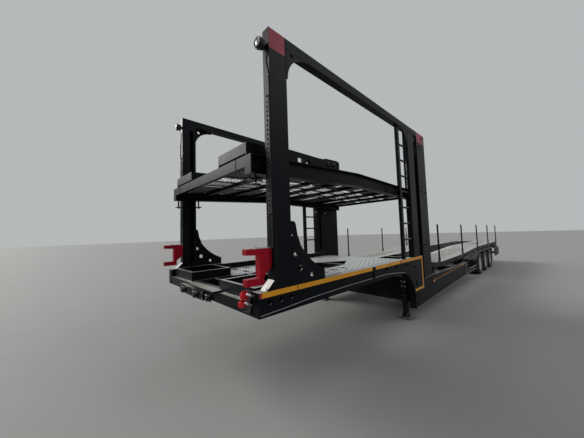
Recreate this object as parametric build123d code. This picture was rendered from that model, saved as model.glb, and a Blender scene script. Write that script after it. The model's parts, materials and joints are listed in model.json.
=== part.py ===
from build123d import *
import math
import os

# Car transporter semi-trailer with a lifting upper deck. Every size is in millimetres.
# X runs across with the trailer's own left at +X, Y runs from front to rear, Z is up from the ground.
# A station is a distance behind the front face of the gooseneck, and becomes Y by adding FRONT_Y.

# Overall sizes
WIDTH = 2550
DECK_END = 14300
TAIL_STATION = DECK_END + 500
BRACKET_REACH = 130
HALF = WIDTH / 2
FRONT_Y = -(TAIL_STATION - BRACKET_REACH) / 2

# Gooseneck, its step and the low side beams
GOOSE_BOTTOM = 975
RAIL_TOP = 1200
FRONT_DECK_Z = 1100
FRONT_BAR = (-30, 120)
GOOSE_END = 4020
GOOSE_SKIRT_Z = 570
ARCH_CENTRE = (2960, 400)
ARCH_R = GOOSE_BOTTOM - ARCH_CENTRE[1]
STEP_FACE = ARCH_CENTRE[0] + ARCH_R
LOW_END = 7840
LOW_BOTTOM = [(STEP_FACE, 243), (5500, 284), (LOW_END, 322)]
LOW_TOP = [(4570, 735), (7330, 652), (LOW_END, 682)]
SIDE_BEAM_W = 120
SIDE_BEAM_WALL = 10
BULKHEAD_STATION = 3720
BULKHEAD_T = 15
KINGPIN_STATION = 1200
KINGPIN = [(36.5, 35), (25.4, 35), (35.7, 14)]
KINGPIN_FLANGE = (60, 12)
COUPLER_T = 12
TROUGH = (425, HALF - 145, 20, 630)
TROUGH_TOP = 1217
TROUGH_LIP = 40
CENTRE_GAP = (350, 2600, 3200)

# Holes in the side beams: crosswise slots, front holes and low holes as (station, height)
SIDE_SLOTS = [(2410, 1114), (2780, 1114), (3180, 1096), (3570, 1012)]
SIDE_SLOT = (45, 66)
TALL_SLOT = (3626, 697, 50, 110)
FRONT_HOLES = [(86, 1101), (226, 1101), (360, 1101)]
FRONT_HOLE_R = 24
LOW_HOLES = [(3716, 437), (3954, 458), (4417, 443)]
LOW_HOLE_R = 15
INNER_HOLE_R = 18

# Posts, top beams and ladders
POST_W = 100
POST_WALL = 8
POST_TOP = 3800
FRONT_POST = (150, 380)
GUIDE_POST = (3590, 3870)
MAST = (4070, 4520)
MAST_FOOT_Z = 740
MAST_SEAT = (GOOSE_END, 4570)
TOP_BEAM_H = 110
SLOT_W = 65
SLOT_INSET = 125
GUSSET_T = 12
RACK_W = 46
RACK_T = 8
RACK_Z = (1900, POST_TOP - 690)
RACK_PITCH = 47
RACK_HOLE_R = 12
LADDER_RAIL = (3160, 3240)
RUNG_PITCH = 300
FIRST_RUNG_Z = 1550

# Wheels and axles
TYRE_R = 395
TYRE_W = 248
BEAD_R = 228
RIM_W = 172
WHEEL_TOP = 2 * TYRE_R
HUB_X = HALF - 289
TYRE_X = (HUB_X + 140, HUB_X - 140)
SPINDLE_R = 45
RUNNING_GAP = 0.3
AXLE_PITCH = 1120
FIRST_AXLE = DECK_END - 4180
AXLE_STATIONS = [FIRST_AXLE + AXLE_PITCH * n for n in range(3)]
AXLE_GAPS = [FIRST_AXLE - 370, FIRST_AXLE + AXLE_PITCH / 2, FIRST_AXLE + AXLE_PITCH * 1.5]

# Rear deck, given as its top surface
REAR_DECK_Z = WHEEL_TOP + 270
REAR_DECK = [
    (4030, 1100), (4560, 1010), (5160, 950), (7400, 970),
    (FIRST_AXLE - 520, REAR_DECK_Z), (DECK_END, REAR_DECK_Z),
]
TRACK_T = 10
TRACK_INNER = 400
SLOT_LENGTH = 90
SLOT_PITCH = 250
CROSS_H = 80
CROSS_W = 60
EDGE_RAIL_H = 110
EDGE_RAIL_W = POST_W + 5
CROSS_PITCH = 600
STANCHION_TOP = REAR_DECK_Z + 780
STANCHION_R = 18
STANCHION_ENDS = (5170, DECK_END - 50)
STANCHIONS = [STANCHION_ENDS[0] + (STANCHION_ENDS[1] - STANCHION_ENDS[0]) * n / 4 for n in range(5)]

# Chassis beams and what hangs on them
BEAM_X = 450
BEAM_FLANGE = 140
BEAM_WEB = 12
BEAM_FLANGE_T = 16
CHASSIS_LOW = (300, 600)
CHASSIS_HIGH_DEPTH = 270
CHASSIS_HIGH_TOP = REAR_DECK_Z - TRACK_T - CROSS_H
CHASSIS_HIGH = (CHASSIS_HIGH_TOP - CHASSIS_HIGH_DEPTH, CHASSIS_HIGH_TOP)
CHASSIS_END = DECK_END - 100
FENDER_Z = WHEEL_TOP + 90
FENDER = [
    (FIRST_AXLE - 1200, FENDER_Z - 239), (FIRST_AXLE - 850, FENDER_Z - 152), (FIRST_AXLE - 460, FENDER_Z),
    (FIRST_AXLE + 2 * AXLE_PITCH + 590, FENDER_Z),
]
FENDER_INNER = HALF - 335
RAMP_Z = CHASSIS_HIGH_TOP - 90
BUMPER_INSET = 150
BUMPER_T = 80
LEG_X = HALF - 245

# Upper deck, given as the top line of its side beams at rest
UPPER_LINE = [(0, 2512), (1950, 2605), (4450, 2552)]
UPPER_BEAM_H = 195
UPPER_BEAM_X = (HALF - 245, HALF - 135)
UPPER_FLANGE_T = 12
UPPER_TRACK = (380, HALF - 200)
UPPER_TRACK_DROP = 50
UPPER_SLOT_X = (470, HALF - 275)
UPPER_SLOT = (60, 295)
WALKWAY_X = 260
WALKWAY_BARS_X = (40, 240)
WALKWAY_BAR = (14, 40)
UPPER_BAR = (0, 60)
WHEEL_BOX_X = (425, UPPER_BEAM_X[0])
WHEEL_BOX_RISE = 148
WHEEL_BOX_STATIONS = (740, 757, 845, 905, 945, 1025, 1290, 1560)
SHOE_GAP = 0.8


def block(x0, x1, s0, s1, z0, z1):
    """A box between two opposite corners, with stations for its ends."""
    middle = Pos((x0 + x1) / 2, FRONT_Y + (s0 + s1) / 2, (z0 + z1) / 2)
    return middle * Box(abs(x1 - x0), abs(s1 - s0), abs(z1 - z0))


def at(x, station, z):
    """A point of the trailer, from its station."""
    return Vector(x, FRONT_Y + station, z)


def side_face(points):
    """A flat face in the fore-and-aft plane, from (station, height) corners."""
    return make_face(Polyline(*[at(0, s, z) for s, z in points], close=True))


def side_plate(face, x0, x1):
    """A fore-and-aft face given its thickness, from x0 to x1."""
    return extrude(Pos(x0, 0, 0) * face, amount=x1 - x0, dir=(1, 0, 0))


def cross_rod(x0, x1, station, z, radius):
    """A round bar lying across the trailer."""
    place = Pos((x0 + x1) / 2, FRONT_Y + station, z) * Rot(0, 90, 0)
    return place * Cylinder(radius, abs(x1 - x0))


def long_rod(x, s0, s1, z, radius):
    """A round bar lying along the trailer."""
    place = Pos(x, FRONT_Y + (s0 + s1) / 2, z) * Rot(90, 0, 0)
    return place * Cylinder(radius, abs(s1 - s0))


def channel(face, x_outer, width, wall):
    """A side beam with a web outside and flanges round its whole outline, open inwards."""
    pocket = offset(face, amount=-wall, kind=Kind.INTERSECTION)
    body = side_plate(face, x_outer - width, x_outer)
    return body - side_plate(pocket, x_outer - width, x_outer - wall)


def inset(points, distance):
    """An outline, given anticlockwise, with each side moved inwards along its normal until they meet again."""
    moved = []
    for before, point, after in zip(points[-1:] + points[:-1], points, points[1:] + points[:1]):
        sides = [(point[0] - before[0], point[1] - before[1]), (after[0] - point[0], after[1] - point[1])]
        (a0, a1), (b0, b1) = [(-dz / math.hypot(ds, dz), ds / math.hypot(ds, dz)) for ds, dz in sides]
        reach = distance / (1 + a0 * b0 + a1 * b1)
        moved.append((point[0] + (a0 + b0) * reach, point[1] + (a1 + b1) * reach))
    return moved


def i_beam(points, x0, x1, web, flange):
    """A beam with its web in the middle of its width and flanges round its whole outline."""
    face = side_face(points)
    pocket = side_face(inset(points, flange))
    middle = (x0 + x1) / 2
    body = side_plate(face, x0, x1) - side_plate(pocket, x0, middle - web / 2)
    return body - side_plate(pocket, middle + web / 2, x1)


def other_side(part):
    """The same piece on the trailer's right."""
    return mirror(part, about=Plane.YZ)


def pair(part):
    """Left and right copies of one piece."""
    return [part, other_side(part)]


def height_on(line, station):
    """Height of a bent line of (station, height) points at one station."""
    station = max(station, line[0][0])
    for (s0, z0), (s1, z1) in zip(line, line[1:]):
        if station <= s1:
            return z0 + (z1 - z0) * (station - s0) / (s1 - s0)
    return line[-1][1]


def lowest(line, station, width):
    """Lowest height of a bent line under a cross member."""
    return min(height_on(line, station + side * width / 2) for side in (-1, 0, 1))


def band_outline(line, depth):
    """Side outline, anticlockwise, of a bent beam that hangs below a line."""
    return [(s, z - depth) for s, z in line] + list(reversed(line))


def band(line, top_drop, depth):
    """Side face of a bent beam that follows a line, top_drop below it."""
    return side_face(band_outline([(s, z - top_drop) for s, z in line], depth))


# Gooseneck and low side beams
def arch_face(corners, end_z):
    """An outline whose last side is the wheel arch, from end_z up to the gooseneck's bottom."""
    cs, cz = ARCH_CENTRE
    def on_arch(z):
        return cs + math.sqrt(max(ARCH_R ** 2 - (z - cz) ** 2, 0.0))
    start = at(0, on_arch(end_z), end_z)
    middle_z = cz + ARCH_R * math.sin((math.asin((end_z - cz) / ARCH_R) + math.pi / 2) / 2)
    arc = ThreePointArc(start, at(0, on_arch(middle_z), middle_z), at(0, cs, GOOSE_BOTTOM))
    rest = Polyline(at(0, cs, GOOSE_BOTTOM), *[at(0, s, z) for s, z in corners], start)
    return make_face([*rest.edges(), *arc.edges()])


def gooseneck_sides():
    """Hollow box beams, slotted outside and with round holes along the inner wall."""
    front = FRONT_BAR[0]
    corners = [
        (front, GOOSE_BOTTOM), (front, RAIL_TOP), (GOOSE_END, RAIL_TOP), (GOOSE_END, GOOSE_SKIRT_Z),
    ]
    face = arch_face(corners, GOOSE_SKIRT_Z)
    wall = SIDE_BEAM_WALL
    inner = HALF - SIDE_BEAM_W
    hollow = offset(face, amount=-wall, kind=Kind.INTERSECTION)
    beam = side_plate(face, inner, HALF) - side_plate(hollow, inner + wall, HALF - wall)
    outside = (HALF - wall - 1, HALF + 1)
    for s, z in SIDE_SLOTS:
        w, h = SIDE_SLOT
        beam -= block(*outside, s - w / 2, s + w / 2, z - h / 2, z + h / 2)
    s, z, w, h = TALL_SLOT
    beam -= block(*outside, s - w / 2, s + w / 2, z - h / 2, z + h / 2)
    for s, z in FRONT_HOLES:
        beam -= cross_rod(*outside, s, z, FRONT_HOLE_R)
    for n in range(7):
        beam -= cross_rod(inner - 1, inner + wall + 1, 800 + 380 * n, 1150, INNER_HOLE_R)
    return pair(beam)


def low_side_beams():
    cs, cz = ARCH_CENTRE
    tip = at(0, cs + math.sqrt(ARCH_R ** 2 - (GOOSE_SKIRT_Z - cz) ** 2), GOOSE_SKIRT_Z)
    bend = math.asin((GOOSE_SKIRT_Z - cz) / ARCH_R) / 2
    half_way = at(0, cs + ARCH_R * math.cos(bend), cz + ARCH_R * math.sin(bend))
    arc = ThreePointArc(at(0, STEP_FACE, cz), half_way, tip)
    corners = [
        (GOOSE_END, GOOSE_SKIRT_Z), (GOOSE_END, MAST_FOOT_Z), (MAST_SEAT[1], MAST_FOOT_Z),
        *LOW_TOP, *reversed(LOW_BOTTOM), (STEP_FACE, cz),
    ]
    rest = Polyline(tip, *[at(0, s, z) for s, z in corners])
    face = make_face([*rest.edges(), *arc.edges()])
    beam = channel(face, HALF, SIDE_BEAM_W, SIDE_BEAM_WALL)
    for s, z in LOW_HOLES:
        beam -= cross_rod(HALF - SIDE_BEAM_WALL - 1, HALF + 1, s, z, LOW_HOLE_R)
    return pair(beam)


def gooseneck_frame():
    """Front cross bar, two long beams, the coupler plate and the step plate in front."""
    inner = HALF - SIDE_BEAM_W
    top = FRONT_DECK_Z - TRACK_T
    frame = block(-inner, inner, *FRONT_BAR, GOOSE_BOTTOM, top)
    for x in (-BEAM_X, BEAM_X):
        frame += block(x - 50, x + 50, FRONT_BAR[1], BULKHEAD_STATION, GOOSE_BOTTOM, top)
    plate = block(-500, 500, 650, 1750, GOOSE_BOTTOM - COUPLER_T, GOOSE_BOTTOM)
    hole = Cylinder(KINGPIN[0][0] + 0.5, 3 * COUPLER_T)
    frame += plate - Pos(0, FRONT_Y + KINGPIN_STATION, GOOSE_BOTTOM) * hole
    frame += block(-200, 500, -100, 15, top, top + 20)
    return frame


def frame_cross_members():
    """Cross members of the gooseneck and the chassis, each in the bay between two beams."""
    members = []
    side = HALF - SIDE_BEAM_W
    top = FRONT_DECK_Z - TRACK_T
    for s in (360, 900, 1500, 2100, 2700, 3300):
        members.append(block(-BEAM_X + 50, BEAM_X - 50, s - 30, s + 30, GOOSE_BOTTOM + 15, top))
        members += pair(block(BEAM_X + 50, side, s - 30, s + 30, GOOSE_BOTTOM + 15, top))
    web = BEAM_WEB / 2
    low, high = CHASSIS_LOW[0] + 60, CHASSIS_LOW[1] - 60
    for s in (4100, 5300, 6500, 7700):
        members.append(block(-BEAM_X + web, BEAM_X - web, s - 40, s + 40, low, high))
        members += pair(block(BEAM_X + web, HALF - SIDE_BEAM_WALL, s - 40, s + 40, low, high))
    for s in [*AXLE_GAPS, AXLE_STATIONS[-1] + AXLE_PITCH / 2, CHASSIS_END - 100]:
        members.append(block(-BEAM_X + web, BEAM_X - web, s - 40, s + 40, CHASSIS_HIGH[0] + 50, RAMP_Z))
    return members


def step_bulkhead():
    """The panel across the step, with a row of lightening holes."""
    inner = HALF - SIDE_BEAM_W
    s0, s1 = BULKHEAD_STATION, BULKHEAD_STATION + BULKHEAD_T
    panel = block(-inner, inner, s0, s1, CHASSIS_LOW[0], FRONT_DECK_Z - TRACK_T)
    for x in (-700, -350, 0, 350, 700):
        panel -= long_rod(x, s0 - 5, s1 + 5, 840, 60)
    return panel


def kingpin():
    """Two-inch coupling pin: a flange on the coupler plate, shoulder, locking neck and end collar."""
    pin = Pos(0, FRONT_Y + KINGPIN_STATION, GOOSE_BOTTOM + KINGPIN_FLANGE[1] / 2) * Cylinder(*KINGPIN_FLANGE)
    z = GOOSE_BOTTOM
    for r, h in [(KINGPIN[0][0], COUPLER_T)] + KINGPIN:
        pin += Pos(0, FRONT_Y + KINGPIN_STATION, z - h / 2) * Cylinder(r, h)
        z -= h
    return pin


# Perforated wheel tracks
def slots(x0, x1, s0, s1, line):
    """Cutters for the crosswise slots of a track, in one row near each third of its width."""
    cutters = []
    third = (x1 - x0) / 3
    count = int((s1 - s0 - SLOT_PITCH) // SLOT_PITCH)
    start = s0 + (s1 - s0 - (count - 1) * SLOT_PITCH - SLOT_LENGTH) / 2
    for n in range(count):
        s = start + n * SLOT_PITCH
        z = height_on(line, s)
        for middle in (x0 + third * 0.8, x1 - third * 0.8):
            cutters.append(block(middle - 100, middle + 100, s, s + SLOT_LENGTH, z - 60, z + 30))
    return cutters


def track(x0, x1, line, top_drop):
    """One wheel track: a bent plate that follows a line, with its slots cut."""
    plate = side_plate(band(line, top_drop, TRACK_T), x0, x1)
    return plate - slots(x0, x1, line[0][0], line[-1][0], line)


def front_deck_tracks():
    """Slotted tracks that close into one plain plate where the centre gap tapers out."""
    outer = HALF - SIDE_BEAM_W
    gap, taper, closed = CENTRE_GAP
    start = TROUGH[3] + 10
    points = [(gap, start), (outer, start), (outer, GOOSE_END), (0, GOOSE_END), (0, closed), (gap, taper)]
    z = FRONT_DECK_Z - TRACK_T
    outline = make_face(Polyline(*[at(x, s, z) for x, s in points], close=True))
    plate = extrude(outline, amount=TRACK_T, dir=(0, 0, 1))
    plate -= slots(gap, outer, start, taper, [(start, FRONT_DECK_Z), (taper, FRONT_DECK_Z)])
    return plate + other_side(plate)


def rear_deck_tracks():
    return pair(track(TRACK_INNER, HALF - EDGE_RAIL_W, REAR_DECK, 0))


# Posts and what joins them
def post(stations, z0, z1, slot):
    """A welded box post, with a guide slot in its inner face where slot is set."""
    s0, s1 = stations
    inner = HALF - POST_W
    body = block(inner, HALF, s0, s1, z0, z1)
    w = POST_WALL
    body -= block(inner + w, HALF - w, s0 + w, s1 - w, z0 + w, z1 - w)
    if slot:
        body -= block(inner - 1, inner + w + 1, s0 + SLOT_INSET, s0 + SLOT_INSET + SLOT_W, z0 + 90, z1 - 200)
    return body


def foot_gusset():
    """Curved plate behind a front post's foot, with its holes."""
    s0 = FRONT_POST[1]
    arc = ThreePointArc(at(0, s0 + 20, 1850), at(0, s0 + 150, 1575), at(0, s0 + 510, 1315))
    rest = Polyline(
        at(0, s0 + 510, 1315), at(0, s0 + 510, RAIL_TOP), at(0, s0, RAIL_TOP),
        at(0, s0, 1850), at(0, s0 + 20, 1850),
    )
    plate = side_plate(make_face([*arc.edges(), *rest.edges()]), HALF - GUSSET_T, HALF)
    for s, z, r in ((119, 1366, 30), (290, 1277, 24), (50, 1508, 22), (16, 1706, 10)):
        plate -= cross_rod(HALF - 40, HALF + 10, s0 + s, z, r)
    return plate


def front_gusset():
    """Inclined foot in front of a front post."""
    s0 = FRONT_POST[0]
    face = side_face([(s0, RAIL_TOP), (s0, RAIL_TOP + 90), (s0 - 95, RAIL_TOP)])
    return side_plate(face, HALF - POST_W, HALF)


def front_post():
    return post(FRONT_POST, RAIL_TOP, POST_TOP, True) + foot_gusset() + front_gusset()


def lock_rack():
    """Perforated strip on the front face of a front post."""
    s = FRONT_POST[0]
    x = HALF - 39
    z0, z1 = RACK_Z
    rack = block(x - RACK_W / 2, x + RACK_W / 2, s - RACK_T, s, z0, z1)
    for n in range(1, int((z1 - z0) // RACK_PITCH)):
        rack -= long_rod(x, s - RACK_T - 1, s + 1, z0 + n * RACK_PITCH, RACK_HOLE_R)
    return rack


def rear_post():
    """Guide post and mast, tied by a recessed web."""
    under_beam = POST_TOP - TOP_BEAM_H
    guide = post(GUIDE_POST, RAIL_TOP, under_beam, True)
    mast = post(MAST, MAST_FOOT_Z, POST_TOP, False)
    inner = HALF - POST_W
    web = block(inner, inner + 12, GUIDE_POST[1], MAST[0], RAIL_TOP, under_beam - 340)
    tie = block(inner, HALF - 20, GUIDE_POST[1], MAST[0], under_beam - 130, under_beam)
    return guide + mast + web + tie


def corner_gusset(station, forward, radius=310, depth=330):
    """Curved plate between a post and its top beam; forward is 1 towards the rear."""
    z1 = POST_TOP - TOP_BEAM_H
    far = station + forward * (radius + 20)
    plate = block(HALF - GUSSET_T, HALF, station, far, z1 - depth, z1)
    plate -= cross_rod(HALF - 40, HALF + 10, far, z1 - depth, radius)
    return plate


def top_beam():
    s0, s1 = FRONT_POST[1], MAST[0]
    beam = block(HALF - POST_W, HALF, s0, s1, POST_TOP - TOP_BEAM_H, POST_TOP)
    front = corner_gusset(s0, 1)
    front -= cross_rod(HALF - 40, HALF + 10, s0 + 85, POST_TOP - TOP_BEAM_H - 45, 24)
    rear = corner_gusset(GUIDE_POST[0], -1)
    return beam + front + rear


def ladder():
    s0, s1 = LADDER_RAIL
    top = POST_TOP - TOP_BEAM_H
    x0, x1 = HALF - 70, HALF - 20
    body = block(x0, x1, s0, s1, RAIL_TOP, top)
    for n in range(int((top - 190 - FIRST_RUNG_Z) // RUNG_PITCH) + 1):
        z = FIRST_RUNG_Z + n * RUNG_PITCH
        body += long_rod((x0 + x1) / 2, s1 - 5, GUIDE_POST[0], z, 14)
    return body


def front_bracket():
    """Forward-opening C bracket on the face of a front post."""
    s0 = FRONT_POST[0]
    tip = -BRACKET_REACH
    face = side_face([
        (s0, 1592), (tip, 1592), (tip, 1540), (tip + 140, 1532), (tip + 140, 1327), (tip, 1327),
        (tip, 1264), (s0 - 95, 1264), (s0 - 95, 1337), (s0, 1412),
    ])
    return side_plate(face, HALF - 105, HALF - 35)


# Fittings at the front
def wheel_trough():
    """Raised open-topped tray with a lip all round, on the front cross bar."""
    x0, x1, s0, s1 = TROUGH
    z0 = FRONT_DECK_Z - TRACK_T
    lip = TROUGH_LIP
    tray = block(x0, x1, s0, s1, z0, TROUGH_TOP)
    tray -= block(x0 + 8, x1 - 8, s0 + 8, s1 - 8, z0 + 8, TROUGH_TOP - 8)
    return tray - block(x0 + lip, x1 - lip, s0 + lip, s1 - lip, z0 + 20, TROUGH_TOP + 1)


def connector_panel():
    """Socket box on the front cross bar, with the round socket bodies on its face."""
    face = FRONT_BAR[0]
    body = block(-600, 180, face - 50, face, 955, 1060) + block(170, 310, face - 10, face, 955, 1040)
    for x in (-437, -20):
        body += long_rod(x, face - 80, face - 50, 995, 32)
    return body + long_rod(265, face - 40, face - 10, 990, 30)


def air_couplings():
    """Two brake line couplings on a bracket at the left corner of the front cross bar."""
    face = FRONT_BAR[0]
    pieces = []
    for x, z in ((HALF - 129, 1176), (HALF - 159, 1094)):
        body = long_rod(x, face - 95, face - 45, z, 33) + long_rod(x, face - 45, face - 12, z, 14)
        body += cross_rod(x + 20, x + 105, face - 62, z + 14, 13)
        pieces.append(body)
    pieces[0] += block(HALF - 205, HALF - SIDE_BEAM_W, face - 12, face, 1000, 1205)
    return pieces


def landing_gear():
    """Two legs with feet, joined by their cross shaft."""
    s = BULKHEAD_STATION - 70
    whole = cross_rod(-LEG_X, LEG_X, s, 880, 16)
    for side in (-1, 1):
        x = side * LEG_X
        whole += block(x - 60, x + 60, s - 60, s + 60, 430, 960)
        whole += block(x - 75, x + 75, s + 60, s + 70, 560, 960)
        whole += block(x - 46, x + 46, s - 46, s + 46, 40, 430)
        whole += block(x - 125, x + 125, s - 115, s + 115, 0, 16)
        whole += cross_rod(x - 66, x + 66, s, 44, 20)
        whole += block(x - 70, x - 55, s - 40, s + 40, 16, 60) + block(x + 55, x + 70, s - 40, s + 40, 16, 60)
    whole += block(LEG_X - 130, LEG_X - 60, s - 50, s + 50, 800, 950)
    return whole


def work_lamps():
    x = HALF - 65
    s = FRONT_POST[0]
    z = POST_TOP - 175
    body = long_rod(x, s - 95, s - 40, z, 46) + block(x - 20, x + 20, s - 40, s, z - 15, z + 15)
    return pair(body)


# Chassis and rear deck
def chassis_beams():
    """Two cranked I-beams with the pedestals that carry the rear deck."""
    low0, low1 = CHASSIS_LOW
    high0, high1 = CHASSIS_HIGH
    start = BULKHEAD_STATION + BULKHEAD_T
    outline = [
        (start, low0), (FIRST_AXLE - 1670, low0), (FIRST_AXLE - 870, high0), (CHASSIS_END, high0),
        (CHASSIS_END, high1), (FIRST_AXLE - 470, high1), (FIRST_AXLE - 1620, low1), (start, low1),
    ]
    beam = i_beam(outline, BEAM_X - BEAM_FLANGE / 2, BEAM_X + BEAM_FLANGE / 2, BEAM_WEB, BEAM_FLANGE_T)
    for s in (4700, 5900, 7100, 8300):
        top = lowest(REAR_DECK, s, 80) - TRACK_T - CROSS_H
        beam += block(BEAM_X - 40, BEAM_X + 40, s - 40, s + 40, low1, top)
    return pair(beam)


def rear_deck_rails():
    """Edge rails of the rear deck, open inwards."""
    start = MAST[1] + 10
    line = [(start, height_on(REAR_DECK, start))] + [p for p in REAR_DECK if p[0] > start]
    return pair(channel(band(line, 0, EDGE_RAIL_H), HALF, EDGE_RAIL_W, 8))


def rear_cross_members():
    """Cross members under the rear wheel tracks, from rail web to rail web, or from mast to mast."""
    members = []
    first = MAST[1] + 180
    count = int((DECK_END - 200 - first) // CROSS_PITCH) + 1
    stations = [first + CROSS_PITCH * n for n in range(count)] + [DECK_END - 40]
    for s, end in [(MAST[0] + 70, HALF - POST_W)] + [(s, HALF - 8) for s in stations]:
        z = lowest(REAR_DECK, s, CROSS_W) - TRACK_T
        members.append(block(-end, end, s - CROSS_W / 2, s + CROSS_W / 2, z - CROSS_H, z))
    return members


def stanchions():
    """Round edge posts in their sockets, down both sides of the rear deck."""
    pieces = []
    x = HALF - STANCHION_R - 2
    for s in STANCHIONS:
        z = max(height_on(REAR_DECK, s + step) for step in (-30, 0, 30))
        foot = Pos(x, FRONT_Y + s, z + 50) * Cylinder(STANCHION_R + 10, 100)
        foot -= block(HALF, HALF + 30, s - 60, s + 60, z - 5, z + 110)
        height = STANCHION_TOP - z
        pole = Pos(x, FRONT_Y + s, z + height / 2) * Cylinder(STANCHION_R, height)
        pieces += pair(pole + foot)
    return pieces


def fenders():
    """Bent cover over the three axles, with a lip and its hangers."""
    top = FENDER[-1][1]
    cover = side_plate(band(FENDER, 0, 6), FENDER_INNER, HALF)
    cover += side_plate(band(FENDER, 0, 55), HALF - 6, HALF)
    for s in [*AXLE_GAPS, FENDER[-1][0] - 50]:
        rail_bottom = height_on(REAR_DECK, s) - EDGE_RAIL_H
        cover += block(HALF - 75, HALF - 35, s - 20, s + 20, top - 3, rail_bottom)
    return pair(cover)


def side_guards():
    """Two rails behind each low side beam, an upright and the arm up to the deck's edge rail."""
    x0, x1 = HALF - 45, HALF - 5
    end = FIRST_AXLE - 790
    guard = block(x0, x1, LOW_END, end, 300, 345) + block(x0, x1, LOW_END, end - 80, 395, 435)
    near = LOW_END + 100
    guard += block(x0, x1, near, near + 50, 340, 790) + block(x0, x1, end - 180, end - 140, 340, 430)
    arm_end = FIRST_AXLE - 1380
    top = [height_on(REAR_DECK, s) - EDGE_RAIL_H for s in (arm_end, arm_end + 120)]
    arm = side_face([
        (LOW_END + 20, 735), (LOW_END + 20, 785), (arm_end, top[0]), (arm_end + 120, top[1]),
        (LOW_END + 220, 735),
    ])
    return pair(guard + side_plate(arm, x0, x1))


def mudflaps():
    end, top = FENDER[-1]
    return pair(block(FENDER_INNER + 20, HALF - 35, end, end + 8, 220, top))


def rear_bumper():
    """Cross beam, underrun bar, its arms and the side plates of the tail."""
    inner = HALF - EDGE_RAIL_W
    bar = TAIL_STATION - BUMPER_INSET
    whole = block(-inner, inner, CHASSIS_END, CHASSIS_END + 90, 720, RAMP_Z)
    whole += block(-(HALF - 125), HALF - 125, bar, bar + BUMPER_T, 420, 520)
    rail_bottom = REAR_DECK[-1][1] - EDGE_RAIL_H
    for side in (-1, 1):
        x = side * 500
        whole += block(x - 12, x + 12, CHASSIS_END + 60, bar + 20, 420, 760)
        x0, x1 = sorted((side * (HALF - 20), side * HALF))
        outline = side_face([
            (DECK_END - 950, rail_bottom), (DECK_END - 820, 700), (DECK_END - 860, 520), (DECK_END - 740, 395),
            (DECK_END - 200, 375), (bar + 100, 420), (TAIL_STATION, 470), (TAIL_STATION, 720),
            (bar, 770), (DECK_END - 50, 800), (DECK_END - 150, rail_bottom),
        ])
        plate = side_plate(outline, x0, x1)
        plate -= cross_rod(x0 - 5, x1 + 5, DECK_END - 500, 610, 90)
        whole += plate
        y0, y1 = sorted((side * (HALF - 135), side * (HALF - 10)))
        whole += block(y0, y1, bar + 10, bar + 70, 430, 510)
        z0, z1 = sorted((side * (inner - 10), side * (HALF - 10)))
        whole += block(z0, z1, CHASSIS_END + 10, CHASSIS_END + 80, 740, 790)
    return whole


def rear_lamps():
    s = TAIL_STATION - BUMPER_INSET + BUMPER_T
    return pair(block(HALF - 475, HALF - 155, s, s + 35, 425, 515))


def loading_ramps():
    """Two slide-out ramps, stowed between the chassis beams."""
    length = 3300
    end = DECK_END + 90
    ramp = block(15, 365, end - length, end, RAMP_Z, RAMP_Z + 80)
    for n in range(12):
        s = end - length + 120 + n * 265
        ramp -= block(70, 310, s, s + 160, RAMP_Z - 5, RAMP_Z + 90)
    return pair(ramp)


def air_tanks():
    pieces = []
    for s in (8000, 8360):
        tank = cross_rod(-310, 310, s, 440, 115)
        tank += block(-(BEAM_X - 6), BEAM_X - 6, s - 25, s + 25, 318, 340)
        pieces.append(tank)
    return pieces


# Wheels and axles
def wheel_section(side, points, station):
    """A ring about an axle, from (x, radius) corners."""
    wire = Polyline(*[at(side * x, station, TYRE_R + r) for x, r in points], close=True)
    axis = Axis(at(0, station, TYRE_R), (1, 0, 0))
    return revolve(make_face(wire), axis)


def tyre(side, station, middle):
    b = RIM_W / 2 - 0.3
    r0 = BEAD_R + 0.3
    w = TYRE_W / 2
    wall = TYRE_R - BEAD_R
    half = [
        (b, r0), (b, BEAD_R + 16), (w, BEAD_R + 0.43 * wall), (w - 3, BEAD_R + 0.7 * wall),
        (w - 22, TYRE_R - 8), (w - 34, TYRE_R),
    ]
    section = half + [(-x, r) for x, r in reversed(half)]
    return wheel_section(side, [(middle + x, r) for x, r in section], station)


def rim(side, station):
    """Twin rims, hub and brake drum, turning on the spindle."""
    face_x = HUB_X
    h = RIM_W / 2
    barrel = [(-h - 8, BEAD_R - 12), (-h - 8, BEAD_R + 14), (-h, BEAD_R + 14), (-h, BEAD_R),
              (h, BEAD_R), (h, BEAD_R + 14), (h + 8, BEAD_R + 14), (h + 8, BEAD_R - 12)]
    whole = None
    for middle, lean in ((TYRE_X[0], 1), (TYRE_X[1], -1)):
        ring = wheel_section(side, [(middle + x, r) for x, r in barrel], station)
        near = middle - lean * h
        disc = wheel_section(side, [
            (face_x, 95), (face_x + lean * 12, 95), (face_x + lean * 12, 165),
            (near + lean * 22, BEAD_R - 11), (near + lean * 8, BEAD_R - 11), (face_x, 172),
        ], station)
        whole = ring + disc if whole is None else whole + ring + disc
    bore = SPINDLE_R + RUNNING_GAP
    profile = [
        (-226, bore), (99, bore), (99, 0.0), (144, 0.0), (144, 62), (104, 72), (14, 80), (14, 100),
        (-6, 100), (-6, 165), (-216, 165), (-216, 152), (-26, 150), (-26, 75), (-226, 75),
    ]
    hub = wheel_section(side, [(face_x + x, r) for x, r in profile], station)
    whole += hub
    for n in range(8):
        a = math.radians(45 * n + 22.5)
        s, z = station + 145 * math.cos(a), TYRE_R + 145 * math.sin(a)
        cut = cross_rod(side * (face_x - 11), side * (face_x + 40), s, z, 22)
        whole -= cut
    return whole


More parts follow.
